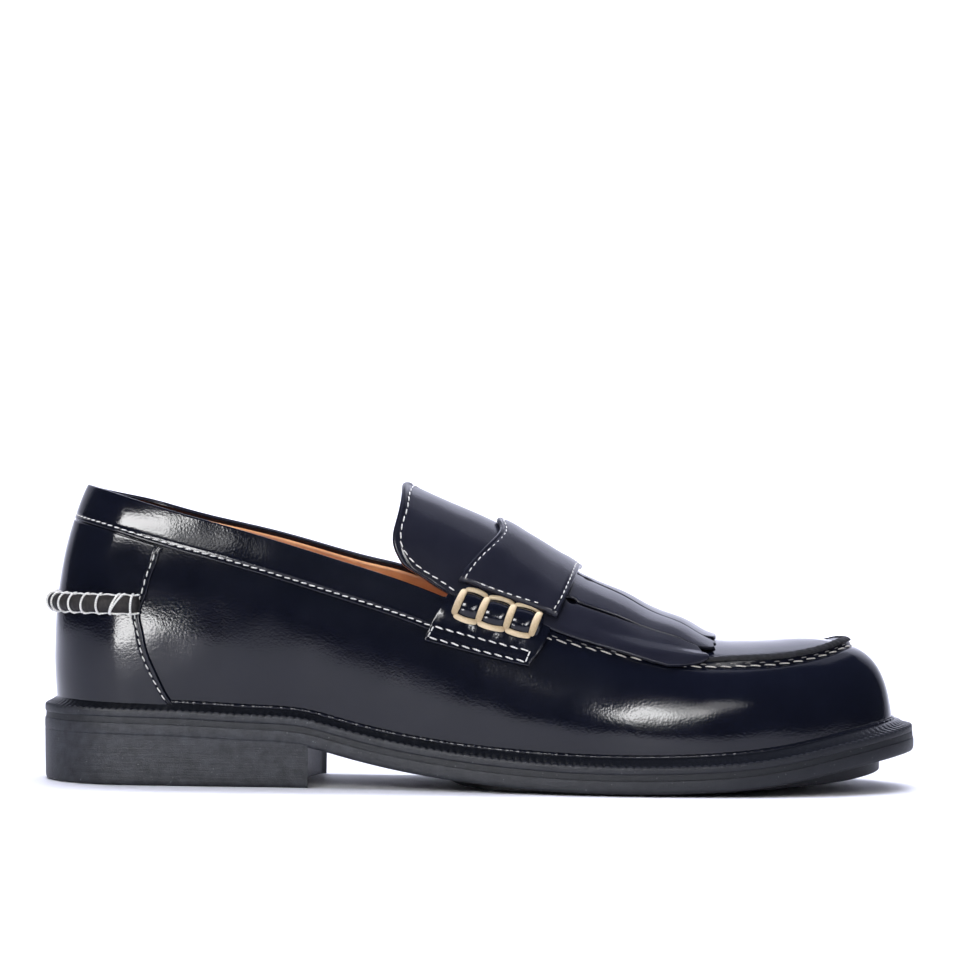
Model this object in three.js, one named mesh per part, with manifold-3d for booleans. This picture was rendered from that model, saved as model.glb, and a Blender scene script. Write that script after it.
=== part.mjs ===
// Kiltie loafer, right shoe, on a stacked-look block heel.
// Millimetres, +Z up, +X to the toe, +Y to the medial (inner) side of the foot.
// The shoe is worked out with x = 0 at the back of the sole and z = 0 on the floor,
// and the finished group is moved so that its origin is the middle of its footprint.

import * as THREE from 'three';
import { mergeVertices } from 'three/addons/utils/BufferGeometryUtils.js';
import Module from 'manifold-3d';

const wasm = await Module();
wasm.setup();

// Driving dimensions
const soleLength = 273;
const ballWidth = 94;
const instepHeight = 79;
const heelHeight = 15;
const toeSpring = 11.6;
const backHeight = 92;
const toeSwing = 4.5;

// Leather
const wall = 2.2;
const overlayThickness = 0.9;
const tongueThickness = 1.6;
const strapThickness = 1.7;
const bandHeight = 11.6;
const ridgeHeight = 1.8;
const fringeLift = 0.9;
const tabThickness = 1.3;
const beefRollRadius = 4.7;
const beefRollRise = 3.7;
const kickerRadius = 2.9;
const kickerRise = 3.2;
const kickerHeight = 31;
const slitWidth = 0.7;
const eyeRadius = 1.5;

// Sole
const weltThickness = 3.0;
const weltReach = 6.4;
const edgeRound = 1.2;
const midsoleThickness = 2.4;
const outsoleThickness = 3.6;
const treadDepth = 1.5;
const treadInset = 7.5;
const insoleRise = 2.2;
const insoleSeat = 0.3;
const midsoleRecess = 0.5;
const breastHollow = 5;

// Clearances
const gap = 0.3;
const seatGap = 0.35;
// How far cutting shapes reach past what they cut
const beyond = 30;
const under = 8;

// Mesh fineness
const lineSteps = 14;
const soleStations = 36;
const lastStations = 30;
const pathSteps = 10;
const sectionSteps = 10;
const eyeSteps = 8;
const bulgeSteps = 6;

// Sole from heel to toe: half widths as shares of ballWidth, lift of its flat stack of layers
// off the floor as shares of heelHeight and of toeSpring, and how far the upper's foot stands in
// from the sole's edge as shares of weltReach.
const SOLE = [
  { x: 0.00, lateral: 0.318, medial: 0.318, lift: 1.0131, spring: 0.0000, margin: 0.594 },
  { x: 0.10, lateral: 0.330, medial: 0.325, lift: 1.0000, spring: 0.0000, margin: 0.562 },
  { x: 0.20, lateral: 0.332, medial: 0.312, lift: 0.9541, spring: 0.0000, margin: 0.531 },
  { x: 0.26, lateral: 0.329, medial: 0.295, lift: 0.9065, spring: 0.0000, margin: 0.500 },
  { x: 0.31, lateral: 0.328, medial: 0.281, lift: 0.8458, spring: 0.0000, margin: 0.484 },
  { x: 0.35, lateral: 0.331, medial: 0.272, lift: 0.6720, spring: 0.0000, margin: 0.469 },
  { x: 0.40, lateral: 0.340, medial: 0.264, lift: 0.4555, spring: 0.0000, margin: 0.469 },
  { x: 0.45, lateral: 0.362, medial: 0.275, lift: 0.2997, spring: 0.0000, margin: 0.516 },
  { x: 0.52, lateral: 0.405, medial: 0.312, lift: 0.1538, spring: 0.0000, margin: 0.656 },
  { x: 0.61, lateral: 0.460, medial: 0.405, lift: 0.0554, spring: 0.0000, margin: 0.781 },
  { x: 0.70, lateral: 0.480, medial: 0.490, lift: 0.0422, spring: 0.0000, margin: 0.828 },
  { x: 0.78, lateral: 0.466, medial: 0.520, lift: 0.0422, spring: 0.0763, margin: 0.859 },
  { x: 0.84, lateral: 0.446, medial: 0.512, lift: 0.0422, spring: 0.2248, margin: 0.906 },
  { x: 0.90, lateral: 0.420, medial: 0.495, lift: 0.0422, spring: 0.5068, margin: 0.938 },
  { x: 0.95, lateral: 0.396, medial: 0.477, lift: 0.0422, spring: 0.7634, margin: 0.969 },
  { x: 1.00, lateral: 0.370, medial: 0.455, lift: 0.0422, spring: 1.0010, margin: 1.000 },
];

// Where the top of each last section lies: foot of the section -> spine, as shares of soleLength.
const LEAN = [
  { x: 0.000, spine: 0.062 },
  { x: 0.220, spine: 0.275 },
  { x: 0.340, spine: 0.400 },
  { x: 0.454, spine: 0.527 },
  { x: 0.571, spine: 0.612 },
  { x: 0.700, spine: 0.715 },
  { x: 0.820, spine: 0.800 },
  { x: 0.900, spine: 0.842 },
  { x: 0.976, spine: 0.862 },
];

// Height of the spine of the last, as shares of backHeight and of instepHeight.
const CROWN = [
  { x: 0.062, back: 1.116, instep: 0.000 },
  { x: 0.220, back: 0.900, instep: 0.287 },
  { x: 0.330, back: 0.500, instep: 0.700 },
  { x: 0.415, back: 0.200, instep: 0.927 },
  { x: 0.527, back: 0.000, instep: 0.996 },
  { x: 0.612, back: 0.000, instep: 0.825 },
  { x: 0.690, back: 0.000, instep: 0.682 },
  { x: 0.755, back: 0.000, instep: 0.598 },
  { x: 0.810, back: 0.000, instep: 0.578 },
  { x: 0.862, back: 0.000, instep: 0.588 },
];

// Shape of each half section, a cubic curve from its foot to the spine. belly is how far the
// first handle stands out past the foot and rise how high it is, crown how far the second
// handle stays from the spine and cap its height, all as shares of the section's own spans.
const SECTIONS = [
  { x: 0.000, bellyL: 0.25, riseL: 0.50, crownL: 0.52, bellyM: 0.25, riseM: 0.50, crownM: 0.52, cap: 0.86 },
  { x: 0.060, bellyL: 0.20, riseL: 0.48, crownL: 0.85, bellyM: 0.16, riseM: 0.48, crownM: 0.80, cap: 0.96 },
  { x: 0.200, bellyL: 0.22, riseL: 0.47, crownL: 1.02, bellyM: 0.12, riseM: 0.45, crownM: 0.95, cap: 1.00 },
  { x: 0.400, bellyL: 0.24, riseL: 0.48, crownL: 0.92, bellyM: 0.18, riseM: 0.45, crownM: 0.90, cap: 1.00 },
  { x: 0.550, bellyL: 0.16, riseL: 0.52, crownL: 0.66, bellyM: 0.16, riseM: 0.50, crownM: 0.70, cap: 1.00 },
  { x: 0.700, bellyL: 0.10, riseL: 0.62, crownL: 0.66, bellyM: 0.12, riseM: 0.62, crownM: 0.72, cap: 1.00 },
  { x: 0.820, bellyL: 0.06, riseL: 0.66, crownL: 0.74, bellyM: 0.08, riseM: 0.66, crownM: 0.78, cap: 1.00 },
  { x: 0.920, bellyL: -0.02, riseL: 0.68, crownL: 0.80, bellyM: 0.00, riseM: 0.68, crownM: 0.80, cap: 1.00 },
  { x: 0.976, bellyL: -0.07, riseL: 0.70, crownL: 0.80, bellyM: -0.07, riseM: 0.70, crownM: 0.80, cap: 1.00 },
];

// The apron seam: how far up each section (0 foot, 1 spine) it lies, and how much it stands up.
const SEAM = [
  { u: 0.00, t: 0.450, rise: 0.00 },
  { u: 0.45, t: 0.450, rise: 0.00 },
  { u: 0.55, t: 0.463, rise: 0.10 },
  { u: 0.61, t: 0.487, rise: 0.22 },
  { u: 0.67, t: 0.535, rise: 0.55 },
  { u: 0.72, t: 0.563, rise: 1.00 },
  { u: 0.76, t: 0.563, rise: 1.00 },
  { u: 0.80, t: 0.577, rise: 1.00 },
  { u: 0.84, t: 0.608, rise: 1.00 },
  { u: 0.90, t: 0.662, rise: 1.00 },
  { u: 1.00, t: 0.695, rise: 1.00 },
];

// Rows of the last's grid. Below the seam they are shares of its height, on the ridge they
// are steps past it, and above the ridge they are shares of what is left up to the spine.
const ROWS = [
  { below: 0.00 }, { below: 0.24 }, { below: 0.48 }, { below: 0.74 },
  { past: -0.015, rise: 0.0 }, { past: 0.012, rise: 0.75 }, { past: 0.040, rise: 1.0 },
  { past: 0.068, rise: 0.75 }, { past: 0.095, rise: 0.0 },
  { above: 0.30 }, { above: 0.58 }, { above: 0.82 }, { above: 1.00 },
];
const ridgeStart = -0.015;
const ridgeEnd = 0.095;

// Side views: x as shares of soleLength, z as shares of instepHeight.
// The topline follows backHeight at the heel and instepHeight at the throat.
const TOPLINE = [
  { x: -0.03, back: 1.045, instep: 0.00 },
  { x: 0.055, back: 1.000, instep: 0.00 },
  { x: 0.10, back: 0.873, instep: 0.116 },
  { x: 0.18, back: 0.640, instep: 0.305 },
  { x: 0.26, back: 0.450, instep: 0.450 },
  { x: 0.36, back: 0.190, instep: 0.650 },
  { x: 0.43, back: 0.030, instep: 0.759 },
  { x: 0.475, back: 0.000, instep: 0.735 },
];
const THROAT = [
  { x: 0.490, z: 0.790 },
  { x: 0.512, z: 0.900 },
  { x: 0.540, z: 1.080 },
  { x: 0.560, z: 1.400 },
];
const TONGUE = [
  { x: 0.422, z: 1.240 },
  { x: 0.415, z: 1.120 },
  { x: 0.408, z: 1.030 },
  { x: 0.409, z: 0.970 },
  { x: 0.414, z: 0.915 },
  { x: 0.424, z: 0.868 },
  { x: 0.438, z: 0.835 },
  { x: 0.455, z: 0.805 },
  { x: 0.472, z: 0.778 },
  { x: 0.484, z: 0.800 },
  { x: 0.500, z: 0.850 },
  { x: 0.545, z: 0.820 },
  { x: 0.555, z: 0.920 },
  { x: 0.565, z: 1.240 },
];
const STRAP = [
  { x: 0.538, z: 1.250 },
  { x: 0.530, z: 1.075 },
  { x: 0.521, z: 0.975 },
  { x: 0.505, z: 0.890 },
  { x: 0.488, z: 0.825 },
  { x: 0.498, z: 0.800 },
  { x: 0.540, z: 0.758 },
  { x: 0.588, z: 0.712 },
  { x: 0.596, z: 0.735 },
  { x: 0.603, z: 0.775 },
  { x: 0.613, z: 0.835 },
  { x: 0.620, z: 0.900 },
  { x: 0.630, z: 1.250 },
];
const TAB = [
  { x: 0.451, z: 0.650 },
  { x: 0.571, z: 0.562 },
  { x: 0.565, z: 0.490 },
  { x: 0.443, z: 0.578 },
];
const BEEF_ROLL = [
  { x: 0.487, z: 0.733 },
  { x: 0.515, z: 0.706 },
  { x: 0.543, z: 0.682 },
  { x: 0.572, z: 0.660 },
];
// The kiltie's lower edge on the last: station u and share t of the way up the section.
const KILTIE_EDGE = [
  { u: 0.540, t: 0.640 },
  { u: 0.553, t: 0.560 },
  { u: 0.556, t: 0.490 },
  { u: 0.590, t: 0.484 },
  { u: 0.625, t: 0.487 },
  { u: 0.663, t: 0.483 },
];
// Front of the fringe in plan: x as shares of soleLength, y as shares of ballWidth.
const KILTIE_FRONT = [
  { x: 0.764, y: 0.278 },
  { x: 0.751, y: 0.236 },
  { x: 0.767, y: 0.220 },
  { x: 0.768, y: 0.158 },
  { x: 0.754, y: 0.122 },
  { x: 0.768, y: 0.095 },
  { x: 0.771, y: 0.000 },
];
const SLITS = [
  { from: 0.618, to: 0.756, y: 0.070, spread: 0.052 },
  { from: 0.614, to: 0.753, y: 0.228, spread: 0.006 },
];
// The counter's front edge: share of the way up from the welt to the collar band -> x.
const COUNTER = [
  { up: -0.10, x: 0.168 },
  { up: 0.08, x: 0.1575 },
  { up: 0.25, x: 0.1445 },
  { up: 0.41, x: 0.1320 },
  { up: 0.56, x: 0.1245 },
  { up: 0.69, x: 0.1275 },
  { up: 0.80, x: 0.1350 },
  { up: 1.05, x: 0.1540 },
];
// The forefoot tread: height of its underside as shares of heelHeight and of toeSpring.
const TREAD = [
  { x: 0.470, lift: 0.067, spring: 0.000 },
  { x: 0.520, lift: 0.000, spring: 0.000 },
  { x: 0.740, lift: 0.000, spring: 0.000 },
  { x: 0.800, lift: 0.000, spring: 0.078 },
  { x: 0.865, lift: 0.000, spring: 0.198 },
  { x: 0.905, lift: 0.000, spring: 0.276 },
  { x: 0.935, lift: 0.000, spring: 0.371 },
  { x: 0.962, lift: 0.000, spring: 0.500 },
];

// Single places, as shares of soleLength from the heel.
const kiltieBack = 0.572;
const bandFront = { top: 0.468, foot: 0.446 };
const breastPlace = 0.3165;
const kickerReach = 0.122;
const swingStart = 0.45;
const slopeFrom = 0.15;
const slopeFull = 0.35;
const fringeFrom = 0.66;
const fringeFull = 0.77;
// How much of the toe's swing the spine of the last takes.
const spineSwing = 0.8;
// Ends of the breast's hollow, as shares of ballWidth.
const breastEnds = { lateral: -0.33, medial: 0.30 };
// Thickness that is left at the kicker's ends and between the beef roll's bulges.
const kickerTip = 0.75;
const rollBulges = 3;
const rollWaist = 0.80;
const rollFullness = 0.6;
// The step of a slope, and the rounds and halvings of a search.
const nearby = 0.004;
const searchRounds = 12;
const halvings = 24;

// Edge of each layer of the sole from its underside up: how far it is drawn in as shares of
// edgeRound, and share of its thickness.
const WELT_EDGE = [
  { inset: 0.167, up: 0 },
  { inset: 0.000, up: 0.70 },
  { inset: 0.292, up: 0.91 },
  { inset: 1.000, up: 1 },
];
const STRAIGHT_EDGE = [
  { inset: 0.000, up: 0 },
  { inset: 0.000, up: 1 },
];
const OUTSOLE_EDGE = [
  { inset: 0.833, up: 0 },
  { inset: 0.167, up: 0.20 },
  { inset: 0.000, up: 1 },
];
const TREAD_EDGE = [
  { inset: 0.500, up: 0 },
  { inset: 0.000, up: 0.12 },
  { inset: 0.000, up: 1 },
];
const HEEL_EDGE = [
  { inset: 1.500, up: 0 },
  { inset: 0.583, up: 0.05 },
  { inset: 0.417, up: 0.15 },
  { inset: 0.250, up: 1 },
];
const INSOLE_EDGE = [
  { inset: 0.000, up: 0 },
  { inset: 0.000, up: 0.83 },
  { inset: 0.833, up: 1 },
];

const LATERAL = -1;
const MEDIAL = 1;
const SIDES = [{ name: 'lateral', sign: LATERAL }, { name: 'medial', sign: MEDIAL }];

const clamp = THREE.MathUtils.clamp;
const lerp = THREE.MathUtils.lerp;
const smooth = THREE.MathUtils.smoothstep;

/** Natural cubic spline through one column of a table against another, flat past its ends. */
function spline(rows, column, along = 'x') {
  const xs = rows.map((row) => row[along]);
  const ys = rows.map((row) => row[column]);
  const last = xs.length - 1;
  const bend = new Array(last + 1).fill(0);
  const sweepUp = new Array(last + 1).fill(0);
  for (let i = 1; i < last; i += 1) {
    const share = (xs[i] - xs[i - 1]) / (xs[i + 1] - xs[i - 1]);
    const pivot = share * bend[i - 1] + 2;
    const slopes = (ys[i + 1] - ys[i]) / (xs[i + 1] - xs[i]) - (ys[i] - ys[i - 1]) / (xs[i] - xs[i - 1]);
    bend[i] = (share - 1) / pivot;
    sweepUp[i] = (6 * slopes / (xs[i + 1] - xs[i - 1]) - share * sweepUp[i - 1]) / pivot;
  }
  bend[last] = 0;
  for (let i = last - 1; i >= 0; i -= 1) bend[i] = bend[i] * bend[i + 1] + sweepUp[i];
  return (value) => {
    const x = clamp(value, xs[0], xs[last]);
    let i = 1;
    while (i < last && x > xs[i]) i += 1;
    const h = xs[i] - xs[i - 1];
    const a = (xs[i] - x) / h;
    const b = 1 - a;
    return a * ys[i - 1] + b * ys[i] + ((a ** 3 - a) * bend[i - 1] + (b ** 3 - b) * bend[i]) * h * h / 6;
  };
}

const widthShare = { [LATERAL]: spline(SOLE, 'lateral'), [MEDIAL]: spline(SOLE, 'medial') };
const liftShare = spline(SOLE, 'lift');
const springShare = spline(SOLE, 'spring');
const marginShare = spline(SOLE, 'margin');
const spineShare = spline(LEAN, 'spine');
const crownBack = spline(CROWN, 'back');
const crownInstep = spline(CROWN, 'instep');
const seamAt = spline(SEAM, 't', 'u');
const seamRise = spline(SEAM, 'rise', 'u');
const toplineBack = spline(TOPLINE, 'back');
const toplineInstep = spline(TOPLINE, 'instep');
const counterX = spline(COUNTER, 'x', 'up');
const treadLift = spline(TREAD, 'lift');
const treadSpring = spline(TREAD, 'spring');
const sideShape = (letter) => ({
  belly: spline(SECTIONS, `belly${letter}`),
  rise: spline(SECTIONS, `rise${letter}`),
  crown: spline(SECTIONS, `crown${letter}`),
});
const sectionShape = { [LATERAL]: sideShape('L'), [MEDIAL]: sideShape('M') };
const sectionCap = spline(SECTIONS, 'cap');

/** Value of two shares at x, each of its own named size. */
const mix = (x, first, firstSize, second, secondSize) => (
  firstSize * first(x / soleLength) + secondSize * second(x / soleLength)
);
/** Lift of the sole's layers off the floor at x. */
const soleLift = (x) => mix(x, liftShare, heelHeight, springShare, toeSpring);
const soleStack = weltThickness + gap + midsoleThickness + gap + outsoleThickness;
/** Height of the welt's top over the floor at x. */
const weltTop = (x) => soleStack + soleLift(x);
/** Height of the spine of the last at x. */
const spineHeight = (x) => mix(x, crownBack, backHeight, crownInstep, instepHeight);
/** Centre line of the sole in plan: it swings to the medial side at the toe. */
const centreLine = (x) => toeSwing * smooth(x / soleLength, swingStart, 1);
/** Height of the topline over the floor at x. */
const topline = (x) => mix(x, toplineBack, backHeight, toplineInstep, instepHeight);
const toplineStart = TOPLINE[0].x * soleLength;
const toplineEnd = TOPLINE[TOPLINE.length - 1].x * soleLength;
/** Height of the collar band's lower edge. */
const bandFoot = (x) => topline(x) - bandHeight;

// Plan outlines. Each runs from its own heel end to its own toe end with rounded ends.
// Their ends and the lengths of the rounding are shares of soleLength.
const soleOutline = { heel: 0, toe: 0, heelRound: 0.1136, toeRound: 0.2418, margin: () => 0 };
const upperOutline = { heel: 0.0179, toe: 0.0242, heelRound: 0.0993, toeRound: 0.2176,
  margin: (share) => weltReach * marginShare(share) };
const treadOutline = { heel: 0.470, toe: 0.039, heelRound: 0.0806, toeRound: 0.2051,
  margin: () => treadInset };
const heelPower = 2.15;
const toePower = 2.25;

/** Rounding of an outline's ends: 1 along its middle, 0 at its two tips. */
function endRounding(x, x0, x1, heelRound, toeRound) {
  const back = clamp((x0 + heelRound - x) / heelRound, 0, 1);
  const front = clamp((x - x1 + toeRound) / toeRound, 0, 1);
  return (1 - back ** heelPower) ** (1 / heelPower) * (1 - front ** toePower) ** (1 / toePower);
}

/** Point of a plan outline at station s (0 heel, 1 toe) on one side, drawn in by inset. */
function outlinePoint(outline, s, side, inset = 0) {
  const x0 = outline.heel * soleLength + inset;
  const x1 = (1 - outline.toe) * soleLength - inset;
  const x = x0 + (x1 - x0) * (1 - Math.cos(Math.PI * s)) / 2;
  const half = widthShare[side](x / soleLength) * ballWidth - outline.margin(x / soleLength) - inset;
  const heelRound = outline.heelRound * soleLength - inset;
  const toeRound = outline.toeRound * soleLength - inset;
  return { x, y: centreLine(x) + side * half * endRounding(x, x0, x1, heelRound, toeRound) };
}

/** Slope of the spine at x, eased out over the heel: a section's top handle lies along it. */
function spineSlope(x) {
  const step = nearby * soleLength;
  const rise = spineHeight(x + step) - spineHeight(x - step);
  return smooth(x / soleLength, slopeFrom, slopeFull) * rise / (2 * step);
}

/** Outer surface of the last at station u (0 heel, 1 toe) and t (0 foot, 1 spine) on one side. */
function lastPoint(u, t, side) {
  const foot = outlinePoint(upperOutline, u, side);
  const share = foot.x / soleLength;
  const shape = sectionShape[side];
  const spineX = spineShare(share) * soleLength;
  const spineY = spineSwing * centreLine(spineX);
  const spineZ = spineHeight(spineX);
  const footZ = weltTop(foot.x) + seatGap;
  const first = 3 * (1 - t) ** 2 * t;
  const second = 3 * (1 - t) * t ** 2;
  const across = -first * shape.belly(share) + second * (1 - shape.crown(share)) + t ** 3;
  const up = first * shape.rise(share) + second * sectionCap(share) + t ** 3;
  const tilt = spineSlope(spineX) * shape.crown(share) * (foot.x - spineX);
  return new THREE.Vector3(
    lerp(foot.x, spineX, across),
    lerp(foot.y, spineY, across),
    lerp(footZ, spineZ, up) + second * tilt,
  );
}

/** Where row number j of the grid lies on the section at station u. */
function rowHeight(row, u) {
  const seam = seamAt(u);
  if (row.below !== undefined) return row.below * (seam + ridgeStart);
  if (row.past !== undefined) return seam + row.past;
  const start = seam + ridgeEnd;
  return start + row.above * (1 - start);
}

/** A list of points as one flat list of numbers. */
const flat = (points) => new Float32Array(points.flatMap((p) => [p.x, p.y, p.z]));

/** A closed solid from its vertices and triangles. */
function solid(points, triangles) {
  const triVerts = new Uint32Array(triangles);
  return new wasm.Manifold(new wasm.Mesh({ numProp: 3, vertProperties: flat(points), triVerts }));
}

/** Two triangles for a quad, leaving out one that has closed up to a line. */
function quad(a, b, c, d) {
  const faces = [];
  if (a !== b && b !== c && a !== c) faces.push(a, b, c);
  if (a !== c && c !== d && a !== d) faces.push(a, c, d);
  return faces;
}

/** The last's grid: its points, their outward normals, and the ridge's rise at each. */
function lastGrid() {
  const crownRow = ROWS.length - 1;
  const ringLength = 2 * crownRow + 1;
  const points = [];
  const rises = [];
  for (let i = 0; i <= lastStations; i += 1) {
    const u = i / lastStations;
    for (let j = 0; j < ringLength; j += 1) {
      const row = ROWS[j <= crownRow ? j : 2 * crownRow - j];
      points.push(lastPoint(u, rowHeight(row, u), j <= crownRow ? LATERAL : MEDIAL));
      rises.push((row.rise ?? 0) * seamRise(u));
    }
  }
  const at = (i, j) => {
    const tip = (i === 0 || i === lastStations) && j > crownRow;
    return i * ringLength + (tip ? 2 * crownRow - j : j);
  };
  const faces = [];
  for (let i = 0; i < lastStations; i += 1) {
    for (let j = 0; j < ringLength - 1; j += 1) {
      faces.push(...quad(at(i, j), at(i + 1, j), at(i + 1, j + 1), at(i, j + 1)));
    }
  }
  const surface = new THREE.BufferGeometry();
  surface.setAttribute('position', new THREE.BufferAttribute(flat(points), 3));
  surface.setIndex(faces);
  surface.computeVertexNormals();
  const normal = surface.getAttribute('normal');
  const normals = points.map((_, k) => new THREE.Vector3().fromBufferAttribute(normal, k));
  return { points, normals, rises, faces, at, ringLength };
}

const last = lastGrid();

/**
 * The last as a closed solid, its surface moved out by offset(point) mm, or in where that is
 * negative. drop lets its underside reach that far below the foot of the upper.
 */
function lastSolid(offset, drop = 0) {
  const points = last.points.map((p, k) => (
    p.clone().addScaledVector(last.normals[k], offset(p, last.rises[k]))
  ));
  const faces = [...last.faces];
  const feet = [];
  for (const j of [0, last.ringLength - 1]) {
    const row = [];
    for (let i = 0; i <= lastStations; i += 1) {
      const k = last.at(i, j);
      if (drop === 0) {
        row.push(k);
      } else if (j > 0 && (i === 0 || i === lastStations)) {
        row.push(feet[0][i]);
      } else {
        points.push(points[k].clone().setZ(points[k].z - drop));
        row.push(points.length - 1);
      }
    }
    feet.push(row);
  }
  const [lateral, medial] = feet;
  for (let i = 0; i < lastStations; i += 1) {
    if (drop > 0) {
      const end = last.ringLength - 1;
      faces.push(...quad(lateral[i], lateral[i + 1], last.at(i + 1, 0), last.at(i, 0)));
      faces.push(...quad(last.at(i, end), last.at(i + 1, end), medial[i + 1], medial[i]));
    }
    faces.push(...quad(medial[i], medial[i + 1], lateral[i + 1], lateral[i]));
  }
  return solid(points, faces);
}

/** A layer over the last between two offsets, open underneath. */
function lastLayer(inner, outer) {
  return lastSolid(outer).subtract(lastSolid(inner, under));
}

/** A closed plate: level curves of one outline from its underside up, capped at both ends. */
function plate(outline, levels) {
  const points = [];
  const rows = levels.map(({ inset, z }) => {
    const row = { [LATERAL]: [], [MEDIAL]: [] };
    for (const side of [LATERAL, MEDIAL]) {
      for (let i = 0; i <= soleStations; i += 1) {
        const tip = i === 0 || i === soleStations;
        if (tip && side === MEDIAL) {
          row[side].push(row[LATERAL][i]);
        } else {
          const { x, y } = outlinePoint(outline, i / soleStations, side, inset);
          points.push(new THREE.Vector3(x, y, z(x)));
          row[side].push(points.length - 1);
        }
      }
    }
    return row;
  });
  const faces = [];
  const bottom = rows[0];
  const top = rows[rows.length - 1];
  for (let i = 0; i < soleStations; i += 1) {
    for (let k = 1; k < rows.length; k += 1) {
      const [low, high] = [rows[k - 1], rows[k]];
      faces.push(...quad(low[LATERAL][i], low[LATERAL][i + 1], high[LATERAL][i + 1], high[LATERAL][i]));
      faces.push(...quad(high[MEDIAL][i], high[MEDIAL][i + 1], low[MEDIAL][i + 1], low[MEDIAL][i]));
    }
    faces.push(...quad(top[LATERAL][i], top[LATERAL][i + 1], top[MEDIAL][i + 1], top[MEDIAL][i]));
    faces.push(...quad(bottom[MEDIAL][i], bottom[MEDIAL][i + 1], bottom[LATERAL][i + 1], bottom[LATERAL][i]));
  }
  return solid(points, faces);
}

/** A three.js geometry as a solid. */
function fromGeometry(geometry) {
  const bare = geometry.clone();
  bare.deleteAttribute('normal');
  bare.deleteAttribute('uv');
  const merged = mergeVertices(bare, 1e-4);
  const vertProperties = new Float32Array(merged.getAttribute('position').array);
  const triVerts = new Uint32Array(merged.getIndex().array);
  return new wasm.Manifold(new wasm.Mesh({ numProp: 3, vertProperties, triVerts }));
}

/** A solid with the given side view, between two widths. Its points are [x, z]. */
function sidePrism(outline, y0 = -ballWidth, y1 = ballWidth) {
  const shape = new THREE.Shape(outline.map(([x, z]) => new THREE.Vector2(x, z)));
  const prism = new THREE.ExtrudeGeometry(shape, { depth: y1 - y0, bevelEnabled: false });
  prism.rotateX(Math.PI / 2);
  prism.translate(0, y1, 0);
  return fromGeometry(prism);
}

/** A solid with the given plan, from below the floor to above the shoe. Its points are [x, y]. */
function planPrism(outline) {
  const shape = new THREE.Shape(outline.map(([x, y]) => new THREE.Vector2(x, y)));
  const height = 2 * instepHeight + 2 * beyond;
  const prism = new THREE.ExtrudeGeometry(shape, { depth: height, bevelEnabled: false });
  prism.translate(0, 0, -beyond);
  return fromGeometry(prism);
}

/** A table's rows as [x, z] points of a side view, in mm. */
const sideView = (rows) => rows.map(({ x, z }) => [x * soleLength, z * instepHeight]);

/** Points of a height function between two places. */
function heightLine(height, x0, x1, steps) {
  return Array.from({ length: steps + 1 }, (_, i) => {
    const x = lerp(x0, x1, i / steps);
    return [x, height(x)];
  });
}

/** Share between 0 and 1 at which below() stops being true. */
function search(below) {
  let [low, high] = [0, 1];
  for (let k = 0; k < halvings; k += 1) {
    const middle = (low + high) / 2;
    if (below(middle)) low = middle; else high = middle;
  }
  return (low + high) / 2;
}

/** Station and height on the section where the last has the given side-view place. */
function locate(x, z, side) {
  let u = 0.5;
  let t = 0.5;
  for (let round = 0; round < searchRounds; round += 1) {
    const station = u;
    t = search((share) => lastPoint(station, share, side).z < z);
    const height = t;
    u = search((share) => lastPoint(share, height, side).x < x);
  }
  return { u, t };
}

/** Outward normal of the last at a station and height. */
function lastNormal(u, t, side) {
  const step = nearby;
  const along = lastPoint(Math.min(u + step, 1), t, side).sub(lastPoint(Math.max(u - step, 0), t, side));
  const up = lastPoint(u, Math.min(t + step, 1), side).sub(lastPoint(u, Math.max(t - step, 0), side));
  if (u <= step || u >= 1 - step) along.x = 0;
  return along.cross(up).multiplyScalar(-side).normalize();
}

/** A tube along a path of places, each with a centre, two axes across it and a radius along each. */
function tube(path) {
  const ahead = path[1].centre.clone().sub(path[0].centre);
  const forwards = path[0].across.clone().cross(path[0].out).dot(ahead) > 0;
  const places = forwards ? path : [...path].reverse();
  const points = [];
  for (const { centre, across, out, radius, rise } of places) {
    for (let k = 0; k < sectionSteps; k += 1) {
      const angle = 2 * Math.PI * k / sectionSteps;
      points.push(centre.clone()
        .addScaledVector(across, radius * Math.cos(angle))
        .addScaledVector(out, rise * Math.sin(angle)));
    }
  }
  const faces = [];
  const at = (i, k) => i * sectionSteps + k % sectionSteps;
  for (let i = 0; i < places.length - 1; i += 1) {
    for (let k = 0; k < sectionSteps; k += 1) {
      faces.push(...quad(at(i, k), at(i, k + 1), at(i + 1, k + 1), at(i + 1, k)));
    }
  }
  for (let k = 1; k < sectionSteps - 1; k += 1) {
    faces.push(at(0, 0), at(0, k + 1), at(0, k));
    const end = places.length - 1;
    faces.push(at(end, 0), at(end, k), at(end, k + 1));
  }
  return solid(points, faces);
}

/** Levels of a plate between two height functions, from one of the edge tables. */
function edgeLevels(rows, low, high, recess = 0) {
  return rows.map(({ inset, up }) => (
    { inset: recess + edgeRound * inset, z: (x) => lerp(low(x), high(x), up) }
  ));
}

const midsoleTop = (x) => weltTop(x) - weltThickness - gap;
const outsoleTop = (x) => midsoleTop(x) - midsoleThickness - gap;
const outsoleFloor = (x) => outsoleTop(x) - outsoleThickness;
/** Underside of the forefoot tread. */
const treadUnder = (x) => Math.max(0, mix(x, treadLift, heelHeight, treadSpring, toeSpring));
/** Top of the forefoot tread, let into the outsole. */
const treadTop = (x) => outsoleFloor(x) + treadDepth;

/** The welt: a rounded strip round the foot of the upper. */
function makeWelt() {
  const strip = plate(soleOutline, edgeLevels(WELT_EDGE, (x) => weltTop(x) - weltThickness, weltTop));
  const hole = plate(upperOutline, [
    { inset: wall + gap, z: (x) => weltTop(x) - 2 * weltThickness },
    { inset: wall + gap, z: (x) => weltTop(x) + weltThickness },
  ]);
  return strip.subtract(hole);
}

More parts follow.
